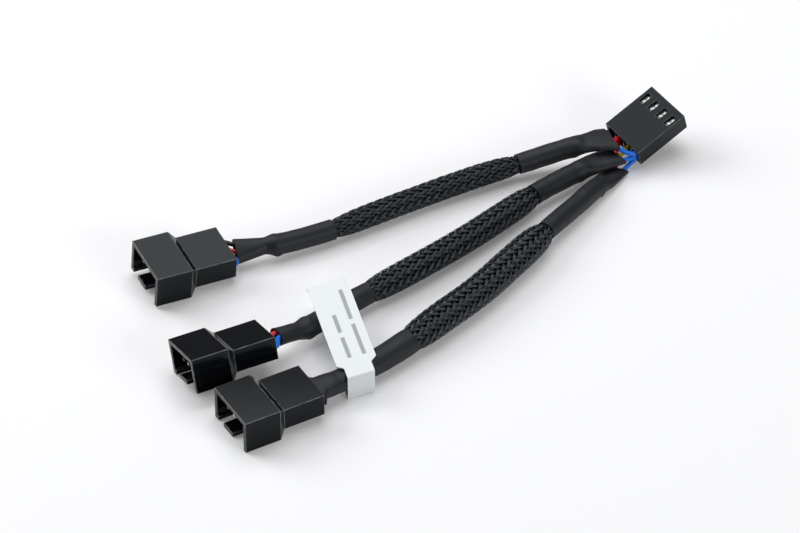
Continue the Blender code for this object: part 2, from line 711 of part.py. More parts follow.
def label_loop(routes):
    """The label's path round two branches, as points with the strip's width at each."""
    crossing = []
    for branch, route, along in zip(BRANCHES[1:], routes[1:], LABEL_CROSSINGS):
        width = outer_shrink_size(branch, along)[0]
        under = np.linspace(along - 0.6 * LABEL_WIDTH, along + 0.6 * LABEL_WIDTH, 5)
        top = max(route.at(spot)[2] + outer_shrink_size(branch, spot)[1] / 2 for spot in under)
        crossing.append((route.at(along), width / 2, top))
    (far, far_half, far_top), (near, near_half, near_top) = crossing
    lift = LABEL_THICKNESS / 2 + LABEL_GAP
    floor = LABEL_THICKNESS / 2
    run = near[:2] - far[:2]
    reach = np.linalg.norm(run)
    run /= reach
    far_top, near_top = far_top + lift, near_top + lift
    far_edge = -far_half - lift - LABEL_FAR_REACH
    near_edge = reach + near_half + lift + LABEL_NEAR_REACH
    fold = far_top / 2
    shoulder = near_edge - SHOULDER_FROM_CREASE
    path = []
    for angle in range(250, 90, -20):
        turned = math.radians(angle)
        x = far_edge + fold + fold * math.cos(turned)
        height = floor + (far_top - floor) * (0.5 + 0.5 * math.sin(turned))
        path.append((x, height, TAIL_WIDTH if angle > 180 else LABEL_WIDTH))
    path += [
        (far_edge + fold, far_top, LABEL_WIDTH),
        (0.3 * reach, (far_top + near_top) / 2 - 0.12 * MM, LABEL_WIDTH),
        (0.7 * reach, (far_top + near_top) / 2 - 0.12 * MM, LABEL_WIDTH),
        (shoulder, near_top, LABEL_WIDTH),
        (shoulder + 0.5 * SHOULDER_LENGTH, near_top, LABEL_WIDTH - 0.4 * (LABEL_WIDTH - TAIL_WIDTH)),
        (shoulder + SHOULDER_LENGTH, near_top, TAIL_WIDTH),
        (near_edge - 0.5 * MM, near_top - 0.1 * MM, TAIL_WIDTH),
        (near_edge, near_top - 0.7 * MM, TAIL_WIDTH),
        (near_edge, floor + 1.0 * MM, TAIL_WIDTH),
        (near_edge - 1.0 * MM, floor, TAIL_WIDTH),
        (0.5 * reach, floor, TAIL_WIDTH),
        (far_edge + fold + 0.6 * MM, floor, TAIL_WIDTH),
    ]
    return path, far, run


def label_mesh(routes):
    path, start, run = label_loop(routes)
    count = len(path)
    line = np.array([(x, z) for x, z, _ in path])
    rings_out, rings_in = [], []
    for index, (x, z, width) in enumerate(path):
        ahead = line[(index + 1) % count] - line[index - 1]
        ahead /= np.linalg.norm(ahead)
        outward = np.array([-ahead[1], ahead[0]]) * LABEL_THICKNESS / 2
        for found, sign in ((rings_out, 1), (rings_in, -1)):
            u, height = x + sign * outward[0], z + sign * outward[1]
            middle = np.array([start[0] + run[0] * u, start[1] + run[1] * u, height])
            found.append([tuple(middle + np.array([side * width / 2, 0.0, 0.0])) for side in (-1, 1)])
    points = [point for rings in (rings_out, rings_in) for pair in rings for point in pair]
    faces = []
    for index in range(count):
        after = (index + 1) % count
        a, b, c, d = 2 * index, 2 * index + 1, 2 * after + 1, 2 * after
        inside = 2 * count
        faces.append([a, b, c, d])
        faces.append([inside + a, inside + d, inside + c, inside + b])
        faces.append([a, d, inside + d, inside + a])
        faces.append([b, inside + b, inside + c, c])
    return mesh_from("label", points, faces)


def build():
    for old in list(bpy.data.objects):
        bpy.data.objects.remove(old)

    nylon = material("black_nylon", (0.022, 0.024, 0.027), 0.38)
    shrink = material("heat_shrink", (0.022, 0.022, 0.024), 0.62)
    braid = material("braided_sleeve", (0.012, 0.013, 0.016), 0.55)
    paper = material("label_paper", (0.80, 0.83, 0.85), 0.6)
    tin = material("tinned_contact", (0.80, 0.80, 0.78), 0.25, 1.0)
    insulation = {name: material(name + "_wire", colour, 0.4) for name, colour in WIRE_COLOURS.items()}

    plug_mesh = plug_housing_mesh()
    socket_mesh = socket_housing_mesh()
    pin_mesh = pin_contact_mesh()
    crimp_mesh = crimp_contact_mesh()

    socket_pose = resting(socket_mesh, *SOCKET_PLACE)
    set_down(add_object("socket_housing", socket_mesh, nylon), socket_pose)
    for circuit in CIRCUITS:
        contact = add_object("socket_contact_" + circuit, crimp_mesh, tin)
        set_down(contact, socket_pose, (0.0, contact_offset(circuit), SOCKET_CENTRE))
    socket_side = np.array(socket_pose[0] @ Vector((0.0, 1.0, 0.0))) * (1.0, 1.0, 0.0)

    routes = []
    for number, (branch, place) in enumerate(zip(BRANCHES, PLUG_PLACES), start=1):
        plug_pose = resting(plug_mesh, *place)
        set_down(add_object(f"plug_{number}_housing", plug_mesh, nylon), plug_pose)
        plug_side = mouth_side(plug_pose, branch["mouth_roll"])
        route = Route(np.array(branch["route"]) * MM, plug_side, socket_side)
        routes.append(route)
        for index, circuit in enumerate(branch["circuits"]):
            pin = add_object(f"plug_{number}_pin_{circuit}", pin_mesh, tin)
            set_down(pin, plug_pose, (0.0, contact_offset(circuit), PIN_HEIGHT))
            points = wire_points(branch, route, index, plug_pose, socket_pose)
            add_wire(f"wire_{number}_{circuit}", points, insulation[circuit])

        for mesh, finish in zip(branch_tubes(number, branch, route), (shrink, shrink, braid)):
            mesh.shade_smooth()
            add_object(mesh.name, mesh, finish)

    add_object("label", label_mesh(routes), paper)


build()
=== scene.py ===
"""Looks of the fan splitter cable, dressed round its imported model.

Metres, +Z up. The lead lies along +X, from the fan plugs' mouths to the header socket's nose.
"""

import math

import bmesh
import bpy
import numpy as np
from mathutils import Euler, Matrix, Vector, noise


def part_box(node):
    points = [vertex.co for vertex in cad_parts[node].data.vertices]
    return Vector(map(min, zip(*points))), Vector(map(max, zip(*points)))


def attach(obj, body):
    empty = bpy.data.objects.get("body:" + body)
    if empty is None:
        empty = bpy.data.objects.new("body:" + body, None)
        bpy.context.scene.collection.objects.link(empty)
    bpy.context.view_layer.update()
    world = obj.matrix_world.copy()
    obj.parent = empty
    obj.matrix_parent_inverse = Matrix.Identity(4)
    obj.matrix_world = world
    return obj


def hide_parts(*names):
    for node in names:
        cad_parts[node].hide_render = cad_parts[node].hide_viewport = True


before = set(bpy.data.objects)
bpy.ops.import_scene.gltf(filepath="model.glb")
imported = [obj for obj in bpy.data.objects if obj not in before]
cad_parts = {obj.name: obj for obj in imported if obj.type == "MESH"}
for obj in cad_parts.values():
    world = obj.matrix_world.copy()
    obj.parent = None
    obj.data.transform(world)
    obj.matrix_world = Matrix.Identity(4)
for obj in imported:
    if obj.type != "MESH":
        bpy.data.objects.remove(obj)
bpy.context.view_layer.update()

MM = 0.001
BODY = "root"

# Camera and light
CAMERA_PLACE = (-0.29792, -0.62817, 0.56604)
CAMERA_AIM = (-0.0082, 0.00875, 0.0)
CAMERA_LENS_MM = 206.63
SENSOR_WIDTH_MM = 36.0

WORLD_LIGHT = 0.11
# A level panel overhead; its outer edge, towards its heading, is seen at the given angle
PANEL_HEIGHT = 1.0
PANEL_SIZE = (1.2, 0.95)
PANEL_EDGE_ANGLE = math.radians(41.86)
PANEL_HEADING = math.radians(67.5)
PANEL_POWER = 8.7
# Each softbox: its place, its size and its power
KEY_LIGHT = ((-0.52, 0.62, 0.50), (0.62, 0.52), 6.0)
FRONT_LIGHT = ((0.32, -0.85, 0.37), (0.45, 0.30), 3.2)
FLOOR_REACH = 3.0
FLOOR_DROP = 0.05 * MM
VIEW_REACH = 10.0

# What every connector shares
PITCH = 2.54 * MM
CIRCUITS = ("black", "red", "yellow", "blue")
CUT_MARGIN = 1.0 * MM
FIT_GAP = 0.15 * MM
SEAT_GAP = 0.30 * MM

# Wires
WIRE_DIAMETER = 0.96 * MM
WIRE_PITCH = 1.08 * MM
WIRE_LEAD = 0.5 * MM
WIRE_END_REACH = 12.0 * MM
WIRE_END_STEP = 0.35 * MM
WIRE_STEP = 1.2 * MM

# Fan plug, measured from its rear face
SHROUD_WIDTH = 12.25 * MM
SHROUD_HEIGHT = 7.1 * MM
SHROUD_LENGTH = 7.55 * MM
STEP_LENGTH = 1.25 * MM
REAR_LENGTH = 8.7 * MM
REAR_WIDTH = 10.16 * MM
REAR_FLOOR = 1.3 * MM
REAR_BODY_HEIGHT = 4.7 * MM
SIDE_WALL = 0.95 * MM
TOP_WALL = 0.8 * MM
FLOOR_WALL = 0.9 * MM
WELL_DEPTH = 7.95 * MM
KEY_SLOT_LENGTH = 5.8 * MM
FAR_LIP = 1.45 * MM
FAR_SLOT_WIDTH = 1.9 * MM
TONGUE_WIDTH = 3.7 * MM
PIN_HEIGHT = 3.2 * MM
PLUG_LENGTH = SHROUD_LENGTH + STEP_LENGTH + REAR_LENGTH
CHANNEL_WIDTH = 1.95 * MM
CHANNEL_HEIGHT = 2.1 * MM
PIN_BODY_START = 2.3 * MM
CRIMP_LENGTH = 2.5 * MM

# Header socket, measured from its rear face
SOCKET_LENGTH = 12.4 * MM
SOCKET_WIDTH = 10.16 * MM
SOCKET_BODY_HEIGHT = 4.3 * MM
SOCKET_CENTRE = SOCKET_BODY_HEIGHT / 2
NOSE_WALL = 1.0 * MM
CAVITY_WIDTH = 1.95 * MM
CAVITY_HEIGHT = 3.35 * MM
PIN_ENTRY = 1.1 * MM
WINDOW_WIDTH = 1.15 * MM
WINDOW_LENGTH = 2.4 * MM
WINDOW_FROM_NOSE = 1.6 * MM
RIB_HEIGHT = 1.2 * MM
RIB_WIDTH = 1.1 * MM
RIB_EMBED = 0.2 * MM
NECK_REAR = 2.9 * MM
MOULD_EDGE = 0.16 * MM

# Where each connector's rear face lies in plan, and its roll, pitch and yaw in degrees
PLUG_PLACES = (
    ((-39.29 * MM, 23.19 * MM), (4.34, 2.63, 1.78)),
    ((-43.15 * MM, -8.2 * MM), (-16.9, -1.6, 0.8)),
    ((-40.5 * MM, -22.05 * MM), (0.0, 0.0, 5.5)),
)
SOCKET_PLACE = ((47.9 * MM, 22.5 * MM), (9.85, -20.5, 11.0))

# Tubes round the wires
SHRINK_WALL = 0.3 * MM
SLEEVE_TUCK = 3.2 * MM
SLEEVE_RELAX = 2.2 * MM
PLUG_BUNDLE_REACH = 5.0 * MM
SOCKET_ROW_END = 3.5 * MM
SOCKET_BUNDLE_START = 8.5 * MM
PLUG_STATIONS = 5
BUNDLE_STATIONS = 16
SOCKET_STATIONS = 7
LEVEL_BLEND = 11.0 * MM
DIRECTION_REACH = 0.5 * MM
POINTS_PER_SPAN = 24
TUBE_SIDES = 56
TUBE_STEP = 0.3 * MM
SHRINK_CREASE_ANGLE = math.radians(50)
SHRINK_SWELL = 0.03
SHRINK_SWELL_SIZE = 2.2 * MM
SHRINK_SWELL_ASIDE = 2.0 * MM
SEED_SHIFT = (7.3, 3.1, 5.7)
FLAT_SQUARENESS = 0.3
MOUTH_FADE = 4.0 * MM

# Braid: carriers wound each way, each of a few filaments side by side
CARRIERS = 16
FILAMENTS = 3
CARRIER_SHARE = 0.54
FILAMENT_HEIGHT = 0.17 * MM
FILAMENT_SIDES = 6
BRAID_LIFT = 0.19 * MM
BRAID_STEP = 0.34 * MM
WEAVE_SHARPNESS = 1.9
WEAVE_START = 0.25
# How far inside the braid the almost black tube of painted shade lies
SHADE_TUBE_DEPTH = 0.50 * MM
# Where the sleeve widens, a filament grows to this share of its middle width at most
WIDEST_FILAMENT = 1.1
# How unevenly carriers and filaments lie: shares of a carrier's spacing, and a height
CARRIER_SWAY = 0.035
FILAMENT_SWAY = 0.012
FILAMENT_UNEVEN = 0.014 * MM

# Folded label: wide on top, narrower from its shoulders round the near crease and along the floor
LABEL_THICKNESS = 0.2 * MM
LABEL_CROSSINGS = (15.2 * MM, 9.8 * MM)
LABEL_WIDTH = 8.2 * MM
TAIL_WIDTH = 5.6 * MM
LABEL_FAR_REACH = 4.1 * MM
LABEL_FOLD_RADIUS = 0.25 * MM
FOLD_DROP = 0.5 * MM
FOLD_DROP_SHARE = 0.3
CREASE_RADIUS = 0.22 * MM
LABEL_SAG = 0.25 * MM
# The shrinks' height is read below the label's top, over this share of its width each way
UNDER_TOP_SHARE = 0.6
UNDER_TOP_STATIONS = 5
LABEL_STEP = 0.3 * MM
LABEL_COLUMNS = 30
# Plain bars: each row's place across the label, and its spans along the top
PRINT_BAR_HALF = 0.05
PRINT_BARS = (
    (0.383, ((0.40, 0.62), (0.68, 0.94))),
    (0.75, ((0.14, 0.50), (0.56, 0.94))),
)
LABEL_NEAR_REACH = 0.9 * MM
FLANK_SWING = 0.5 * MM
LABEL_CREASE_ANGLE = math.radians(60)
LABEL_GAP = 0.2 * MM
SHOULDER_LENGTH = 1.5 * MM
SHOULDER_FROM_CREASE = 4.2 * MM

# Each branch. Routes, profiles, mouths and kinks are in millimetres and degrees:
# - a profile row is a distance from the tube's connector end, a width and a height;
# - a mouth is a shift and a slant of that end;
# - a kink is a distance, a heading (0 is the far side, 90 is up), a height, a reach along the
#   tube and a spread round it.
# A row is the wires' pitch beside a connector, where the row ends and where the bundle starts.
BRANCHES = (
    {
        "circuits": ("black", "red", "blue"),
        "route": (
            (-36.75, 22.6, 3.2),
            (-31.2, 22.2, 3.0),
            (-27.5, 21.8, 2.75),
            (-17.3, 22.0, 2.5),
            (-5.9, 23.4, 2.5),
            (9.0, 25.0, 2.5),
            (18.0, 25.5, 2.7),
            (26.0, 25.3, 3.0),
            (34.3, 24.4, 4.2),
            (38.8, 23.3, 5.15),
            (41.5, 22.6, 5.3),
            (44.0, 21.9, 5.1),
        ),
        "outer_shrink": 20.0 * MM,
        "inner_shrink": 19.3 * MM,
        "outer_profile": ((0.0, 5.3, 2.5), (5.6, 3.4, 3.2), (7.4, 4.4, 4.0), (10.0, 4.2, 4.2)),
        "inner_profile": ((0.0, 5.6, 1.8), (3.0, 5.4, 1.8), (5.5, 4.8, 2.6), (8.0, 4.3, 4.1)),
        "sleeve": (4.75 * MM, 4.75 * MM),
        "grip": 0.42 * MM,
        "braid_angle": 24.5,
        "mouth_roll": 30.0,
        "plug_mouth": (0.52, 0.13),
        "socket_mouth": (0.55, 1.1),
        "outer_kinks": (
            (7.9, 215.0, 0.34, 0.7, 40.0),
            (7.4, 95.0, 0.16, 0.8, 60.0),
            (5.4, 150.0, -0.14, 1.2, 50.0),
        ),
        "inner_kinks": (
            (0.0, 14.0, 1.3, 3.6, 45.0),
            (6.4, 95.0, 0.20, 0.9, 50.0),
            (5.0, 100.0, -0.18, 0.8, 60.0),
            (7.5, 235.0, 0.22, 0.8, 35.0),
        ),
        "wires_from": 0.0,
        "plug_row": (1.6 * MM, 1.0 * MM, 5.0 * MM),
        "socket_row": (1.75 * MM, SOCKET_ROW_END, SOCKET_BUNDLE_START),
        "level": 1,
    },
    {
        "circuits": ("black", "red", "yellow", "blue"),
        "route": (
            (-41.1, -6.6, 5.0),
            (-37.8, -5.9, 4.4),
            (-34.2, -4.8, 3.5),
            (-30.4, -3.1, 2.8),
            (-21.7, -0.1, 2.7),
            (-7.2, 3.9, 2.85),
            (4.9, 7.7, 2.85),
            (17.4, 12.5, 2.85),
            (25.1, 15.5, 2.9),
            (30.6, 17.0, 3.0),
            (37.5, 18.6, 3.15),
            (41.0, 19.1, 3.2),
            (43.8, 19.4, 3.0),
        ),
        "outer_shrink": 24.0 * MM,
        "inner_shrink": 20.6 * MM,
        "outer_profile": (
            (0.0, 4.1, 3.1),
            (2.5, 3.6, 3.2),
            (4.9, 3.6, 3.3),
            (7.4, 4.5, 4.3),
            (10.0, 4.3, 4.2),
            (14.0, 4.5, 4.3),
        ),
        "inner_profile": ((0.0, 5.5, 1.8), (3.5, 5.5, 1.9), (5.5, 5.2, 2.6), (8.5, 4.2, 4.2)),
        "sleeve": (5.5 * MM, 5.5 * MM),
        "grip": 0.22 * MM,
        "braid_angle": 29.0,
        "mouth_roll": 0.0,
        "plug_mouth": (0.0, 0.0),
        "socket_mouth": (0.4, 0.9),
        "outer_kinks": (
            (7.3, 100.0, 0.15, 0.7, 60.0),
            (5.2, 80.0, -0.12, 1.0, 60.0),
            (7.6, 240.0, 0.16, 0.8, 50.0),
        ),
        "inner_kinks": (
            (7.6, 130.0, 0.20, 0.7, 40.0),
            (9.6, 100.0, -0.16, 1.0, 60.0),
            (9.0, 230.0, 0.18, 0.8, 40.0),
        ),
        "wires_from": 0.0,
        "plug_row": (1.27 * MM, -3.0 * MM, 1.5 * MM),
        "socket_row": (1.22 * MM, SOCKET_ROW_END, SOCKET_BUNDLE_START),
        "level": 0,
    },
    {
        "circuits": ("black", "red", "blue"),
        "route": (
            (-39.9, -21.99, 3.2),
            (-38.5, -21.8, 3.2),
            (-34.0, -21.0, 2.9),
            (-26.2, -18.9, 2.75),
            (-18.5, -16.3, 2.9),
            (-8.9, -12.2, 3.1),
            (0.8, -7.9, 3.05),
            (11.5, -1.9, 3.05),
            (22.9, 4.7, 2.95),
            (31.2, 9.6, 2.4),
            (36.8, 13.2, 1.9),
            (39.5, 14.9, 1.3),
            (42.8, 17.2, 0.95),
        ),
        "outer_shrink": 23.4 * MM,
        "inner_shrink": 26.0 * MM,
        "outer_profile": (
            (0.0, 8.9, 2.5),
            (0.5, 7.6, 2.5),
            (1.1, 5.7, 3.0),
            (7.4, 4.8, 3.9),
            (13.4, 5.0, 4.4),
            (19.4, 5.3, 4.6),
        ),
        "inner_profile": ((0.0, 4.8, 1.8), (3.5, 4.5, 1.9), (5.5, 4.1, 2.6), (8.5, 4.1, 4.1)),
        "sleeve": (6.6 * MM, 5.8 * MM),
        "grip": 0.25 * MM,
        "braid_angle": 33.0,
        "mouth_roll": 0.0,
        "plug_mouth": (0.0, 0.0),
        "socket_mouth": (0.6, 1.2),
        "outer_kinks": (
            (3.4, 110.0, 0.14, 0.9, 50.0),
            (5.6, 95.0, -0.13, 1.1, 60.0),
            (13.0, 160.0, 0.12, 1.0, 40.0),
        ),
        "inner_kinks": (
            (7.4, 225.0, 0.26, 0.6, 35.0),
            (8.8, 100.0, -0.14, 1.0, 60.0),
            (12.0, 95.0, 0.12, 1.2, 50.0),
        ),
        "wires_from": 1.4 * MM,
        "plug_row": (1.6 * MM, 2.4 * MM, 6.4 * MM),
        "socket_row": (1.22 * MM, SOCKET_ROW_END, SOCKET_BUNDLE_START),
        "level": -1,
    },
)

# Colours, as linear values
FLOOR_COLOUR = (0.80, 0.805, 0.82)
FLOOR_GLOW = 0.15
NYLON_COLOUR = (0.0028, 0.0033, 0.0042)
# Pale colour on the nylon's eased edges is a painted highlight
EDGE_HIGHLIGHT_COLOUR = (0.11, 0.12, 0.13)
SHRINK_COLOUR = (0.0092, 0.0106, 0.0128)
BRAID_COLOUR = (0.0050, 0.0062, 0.0082)
# Painted shade: the almost black tube under the braid's filaments
PAINTED_SHADE_COLOUR = (0.0012, 0.0012, 0.0014)
PAPER_COLOUR = (0.79, 0.83, 0.845)
PRINT_COLOUR = (0.36, 0.38, 0.40)
TIN_COLOUR = (0.66, 0.66, 0.65)
WIRE_COLOURS = {
    "black": (0.010, 0.010, 0.011),
    "red": (0.70, 0.018, 0.028),
    "yellow": (0.66, 0.40, 0.02),
    "blue": (0.008, 0.20, 0.90),
}


class Signal:
    """A value in a material, to be written as plain arithmetic."""

    def __init__(self, paint, socket):
        self.paint = paint
        self.socket = socket

    def maths(self, operation, other):
        node = self.paint.node("ShaderNodeMath", {"operation": operation}, {0: self, 1: other})
        return Signal(self.paint, node.outputs[0])

    def __add__(self, other):
        return self.maths("ADD", other)

    __radd__ = __add__

    def __mul__(self, other):
        return self.maths("MULTIPLY", other)

    __rmul__ = __mul__

    def __sub__(self, other):
        return self.maths("SUBTRACT", other)

    def __rsub__(self, other):
        return (self * -1.0) + other

    def clamped(self):
        node = self.paint.node("ShaderNodeClamp", {}, {"Value": self})
        return Signal(self.paint, node.outputs[0])


class Paint:
    """A material under construction, with its shader and one method that adds any node."""

    def __init__(self, name, colour, roughness, metallic=0.0):
        self.material = bpy.data.materials.new(name)
        self.material.use_nodes = True
        self.material.diffuse_color = (*colour, 1.0)
        self.tree = self.material.node_tree
        self.shader = self.tree.nodes["Principled BSDF"]
        self.set("Base Color", colour)
        self.set("Roughness", roughness)
        self.set("Metallic", metallic)

    def node(self, kind, settings, values):
        made = self.tree.nodes.new(kind)
        for name, value in settings.items():
            setattr(made, name, value)
        for name, value in values.items():
            self.put(made.inputs[name], value)
        return made

    def put(self, target, value):
        if isinstance(value, Signal):
            self.tree.links.new(value.socket, target)
        elif hasattr(value, "is_output"):
            self.tree.links.new(value, target)
        elif hasattr(target.default_value, "__len__") and len(target.default_value) == 4:
            target.default_value = (*value, 1.0)
        else:
            target.default_value = value

    def set(self, name, value):
        self.put(self.shader.inputs[name], value)

    def grain(self, size, detail=2.0, stretch=(1.0, 1.0, 1.0)):
        """Noise whose spots are about the given size, in object space."""
        where = self.node("ShaderNodeTexCoord", {}, {}).outputs["Object"]
        mapping = self.node("ShaderNodeMapping", {}, {"Vector": where, "Scale": stretch})
        values = {"Vector": mapping.outputs[0], "Scale": 1 / size, "Detail": detail}
        return Signal(self, self.node("ShaderNodeTexNoise", {}, values).outputs[0])

    def mix(self, share, first, second):
        values = {0: share, 6: first, 7: second}
        return self.node("ShaderNodeMix", {"data_type": "RGBA"}, values).outputs[2]

    def bump(self, height, depth, strength):
        values = {"Height": height, "Distance": depth, "Strength": strength}
        self.set("Normal", self.node("ShaderNodeBump", {}, values).outputs[0])


def moulded_nylon():
    """Black nylon out of a finely etched mould, a little uneven in its gloss."""
    paint = Paint("moulded_nylon", NYLON_COLOUR, 0.18)
    paint.set("Specular IOR Level", 0.18)
    paint.set("Specular Tint", (0.86, 0.95, 1.0))
    cloud = paint.grain(3.1 * MM)
    etch = paint.grain(0.10 * MM, detail=1.0)
    paint.set("Roughness", cloud * 0.05 + etch * 0.03 + 0.05)
    paler = tuple(value * 1.5 for value in NYLON_COLOUR)
    paint.set("Base Color", paint.mix(cloud.clamped(), NYLON_COLOUR, paler))
    paint.bump(etch + cloud * 3.0, 0.0016 * MM, 0.4)
    return paint.material


def edge_painted_highlight():
    """The same nylon with a painted highlight along its sharp edges, in patches."""
    paint = Paint("nylon_edge_painted_highlight", NYLON_COLOUR, 0.3)
    highlight_patches = paint.grain(0.9 * MM, detail=3.0)
    paint.set("Base Color", paint.mix((highlight_patches * 2.4 - 0.7).clamped(), NYLON_COLOUR, EDGE_HIGHLIGHT_COLOUR))
    paint.set("Roughness", highlight_patches * 0.2 + 0.2)
    return paint.material


def shrunk_tube():
    """Matte black tube with the faint mottle that hot air leaves."""
    paint = Paint("shrunk_tube", SHRINK_COLOUR, 0.6)
    paint.set("Specular IOR Level", 0.30)
    mottle = paint.grain(1.1 * MM, detail=3.0)
    skin = paint.grain(0.16 * MM, detail=2.0)
    paint.set("Roughness", mottle * 0.20 + 0.42)
    paler = tuple(value * 1.9 for value in SHRINK_COLOUR)
    paint.set("Base Color", paint.mix(mottle.clamped(), SHRINK_COLOUR, paler))
    paint.bump(skin + mottle, 0.03 * MM, 0.7)
    return paint.material


def braid_filament():
    """Drawn black filament: glossy, with fine streaks."""
    paint = Paint("braid_filament", BRAID_COLOUR, 0.34)
    paint.set("Specular IOR Level", 0.80)
    paint.set("Specular Tint", (0.88, 0.95, 1.0))
    streak = paint.grain(0.5 * MM, detail=2.0)
    paint.set("Roughness", streak * 0.16 + 0.24)
    cooler = (0.011, 0.014, 0.020)
    paint.set("Base Color", paint.mix(streak.clamped(), BRAID_COLOUR, cooler))
    paint.bump(streak, 0.01 * MM, 0.4)
    return paint.material


def painted_shade_tube():
    """Painted shade: an almost black tube, for the shade that shows between the filaments."""
    paint = Paint("painted_shade_tube", PAINTED_SHADE_COLOUR, 0.85)
    paint.set("Specular IOR Level", 0.1)
    fluff = paint.grain(0.3 * MM, detail=3.0)
    paint.set("Roughness", fluff * 0.1 + 0.8)
    paint.bump(fluff, 0.02 * MM, 0.6)
    return paint.material


def wire_insulation(colour_name):
    """Smooth extruded insulation, a little cloudy in its colour."""
    colour = WIRE_COLOURS[colour_name]
    paint = Paint(colour_name + "_insulation", colour, 0.33)
    cloud = paint.grain(0.8 * MM)
    deeper = tuple(value * 0.75 for value in colour)
    paint.set("Base Color", paint.mix(cloud.clamped(), colour, deeper))
    paint.set("Roughness", cloud * 0.15 + 0.27)
    paint.bump(cloud, 0.01 * MM, 0.4)
    return paint.material


def bright_tin():
    """Tin plate with the fine lines of drawing, brighter and duller along them."""
    paint = Paint("bright_tin", TIN_COLOUR, 0.22, 1.0)
    drawn = paint.grain(0.08 * MM, stretch=(0.1, 1.0, 1.0))
    paint.set("Roughness", drawn * 0.16 + 0.28)
    paint.bump(drawn, 0.004 * MM, 0.5)
    return paint.material


def label_film(name, colour):
    """Satin film with a faint pulp grain."""
    paint = Paint(name, colour, 0.42)
    fibre = paint.grain(0.35 * MM, detail=3.0)
    paint.set("Roughness", fibre * 0.2 + 0.34)
    paler = tuple(min(value * 1.04, 0.95) for value in colour)
    paint.set("Base Color", paint.mix(fibre.clamped(), colour, paler))
    paint.bump(fibre, 0.01 * MM, 0.35)
    return paint.material


FINISHES = {
    "black_nylon": moulded_nylon(),
    "heat_shrink": shrunk_tube(),
    "braided_sleeve": braid_filament(),
    "label_paper": label_film("label_film", PAPER_COLOUR),
    "tinned_contact": bright_tin(),
    **{name + "_wire": wire_insulation(name) for name in CIRCUITS},
}

# Nylon whose eased edges carry a painted highlight
EDGE_PAINTED_HIGHLIGHT = edge_painted_highlight()
# Painted shade for the tube under the braid's filaments
SHADE_TUBE = painted_shade_tube()
PRINT = label_film("label_bars", PRINT_COLOUR)


def dressed(name, data, slot, *nodes):
    """A piece of the lead that stands for some nodes of the model, in its slot's finish."""
    made = bpy.data.objects.new(name, data)
    if not data.materials:
        data.materials.append(FINISHES[slot])
    bpy.context.scene.collection.objects.link(made)
    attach(made, BODY)
    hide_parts(*nodes)
    return made


def mesh_of(name, points, faces):
    data = bpy.data.meshes.new(name)
    data.from_pydata([tuple(point) for point in points], [], faces)
    data.validate()
    shape = bmesh.new()
    shape.from_mesh(data)
    bmesh.ops.recalc_face_normals(shape, faces=shape.faces)
    shape.to_mesh(data)
    shape.free()
    data.shade_smooth()
    return data


def band_faces(ring_count, sides, first=0, flip=False):
    """Quads that join each ring of points to the next."""
    found = []
    for ring in range(ring_count - 1):
        low = first + ring * sides
        for side in range(sides):
            after = (side + 1) % sides
            quad = (low + side, low + after, low + sides + after, low + sides + side)
            found.append(quad[::-1] if flip else quad)
    return found


def lofted(name, rings):
    sides = len(rings[0])
    last = (len(rings) - 1) * sides
    faces = band_faces(len(rings), sides)
    faces += [tuple(range(sides)), tuple(last + side for side in range(sides))]
    return mesh_of(name, [point for ring in rings for point in ring], faces)


def block(x_span, y_centre, width, z_span):
    """A box given by its run along X, its middle and width across, and its span in height."""
    low, high = y_centre - width / 2, y_centre + width / 2
    rings = [
        [(x, low, z_span[0]), (x, high, z_span[0]), (x, high, z_span[1]), (x, low, z_span[1])]
        for x in x_span
    ]
    return lofted("block", rings)


def carved(name, base, cuts, adds=()):
    """One mesh with some cut away and others joined on, and its edges eased and given a painted
    highlight.
    """
    for finish in (FINISHES["black_nylon"], EDGE_PAINTED_HIGHLIGHT):
        base.materials.append(finish)
    body = bpy.data.objects.new(name, base)
    bpy.context.scene.collection.objects.link(body)
    tools = []
    for operation, shapes in (("DIFFERENCE", cuts), ("UNION", adds)):
        for shape in shapes:
            tool = bpy.data.objects.new(name + "_tool", shape)
            bpy.context.scene.collection.objects.link(tool)
            step = body.modifiers.new(operation.lower(), "BOOLEAN")
            step.operation = operation
            step.solver = "EXACT"
            step.object = tool
            tools.append(tool)
    ease = body.modifiers.new("ease", "BEVEL")
    ease.width = MOULD_EDGE
    ease.segments = 2
    ease.limit_method = "ANGLE"
    ease.angle_limit = math.radians(30)
    ease.harden_normals = True
    # The second finish paints a highlight along the eased edges
    ease.material = 1  # the eased edges take the second finish
    bpy.context.view_layer.update()
    graph = bpy.context.evaluated_depsgraph_get()
    finished = bpy.data.meshes.new_from_object(body.evaluated_get(graph))
    finished.name = name
    for helper in (body, *tools):
        bpy.data.objects.remove(helper)
    return finished


def contact_offset(circuit):
    return ((len(CIRCUITS) - 1) / 2 - CIRCUITS.index(circuit)) * PITCH


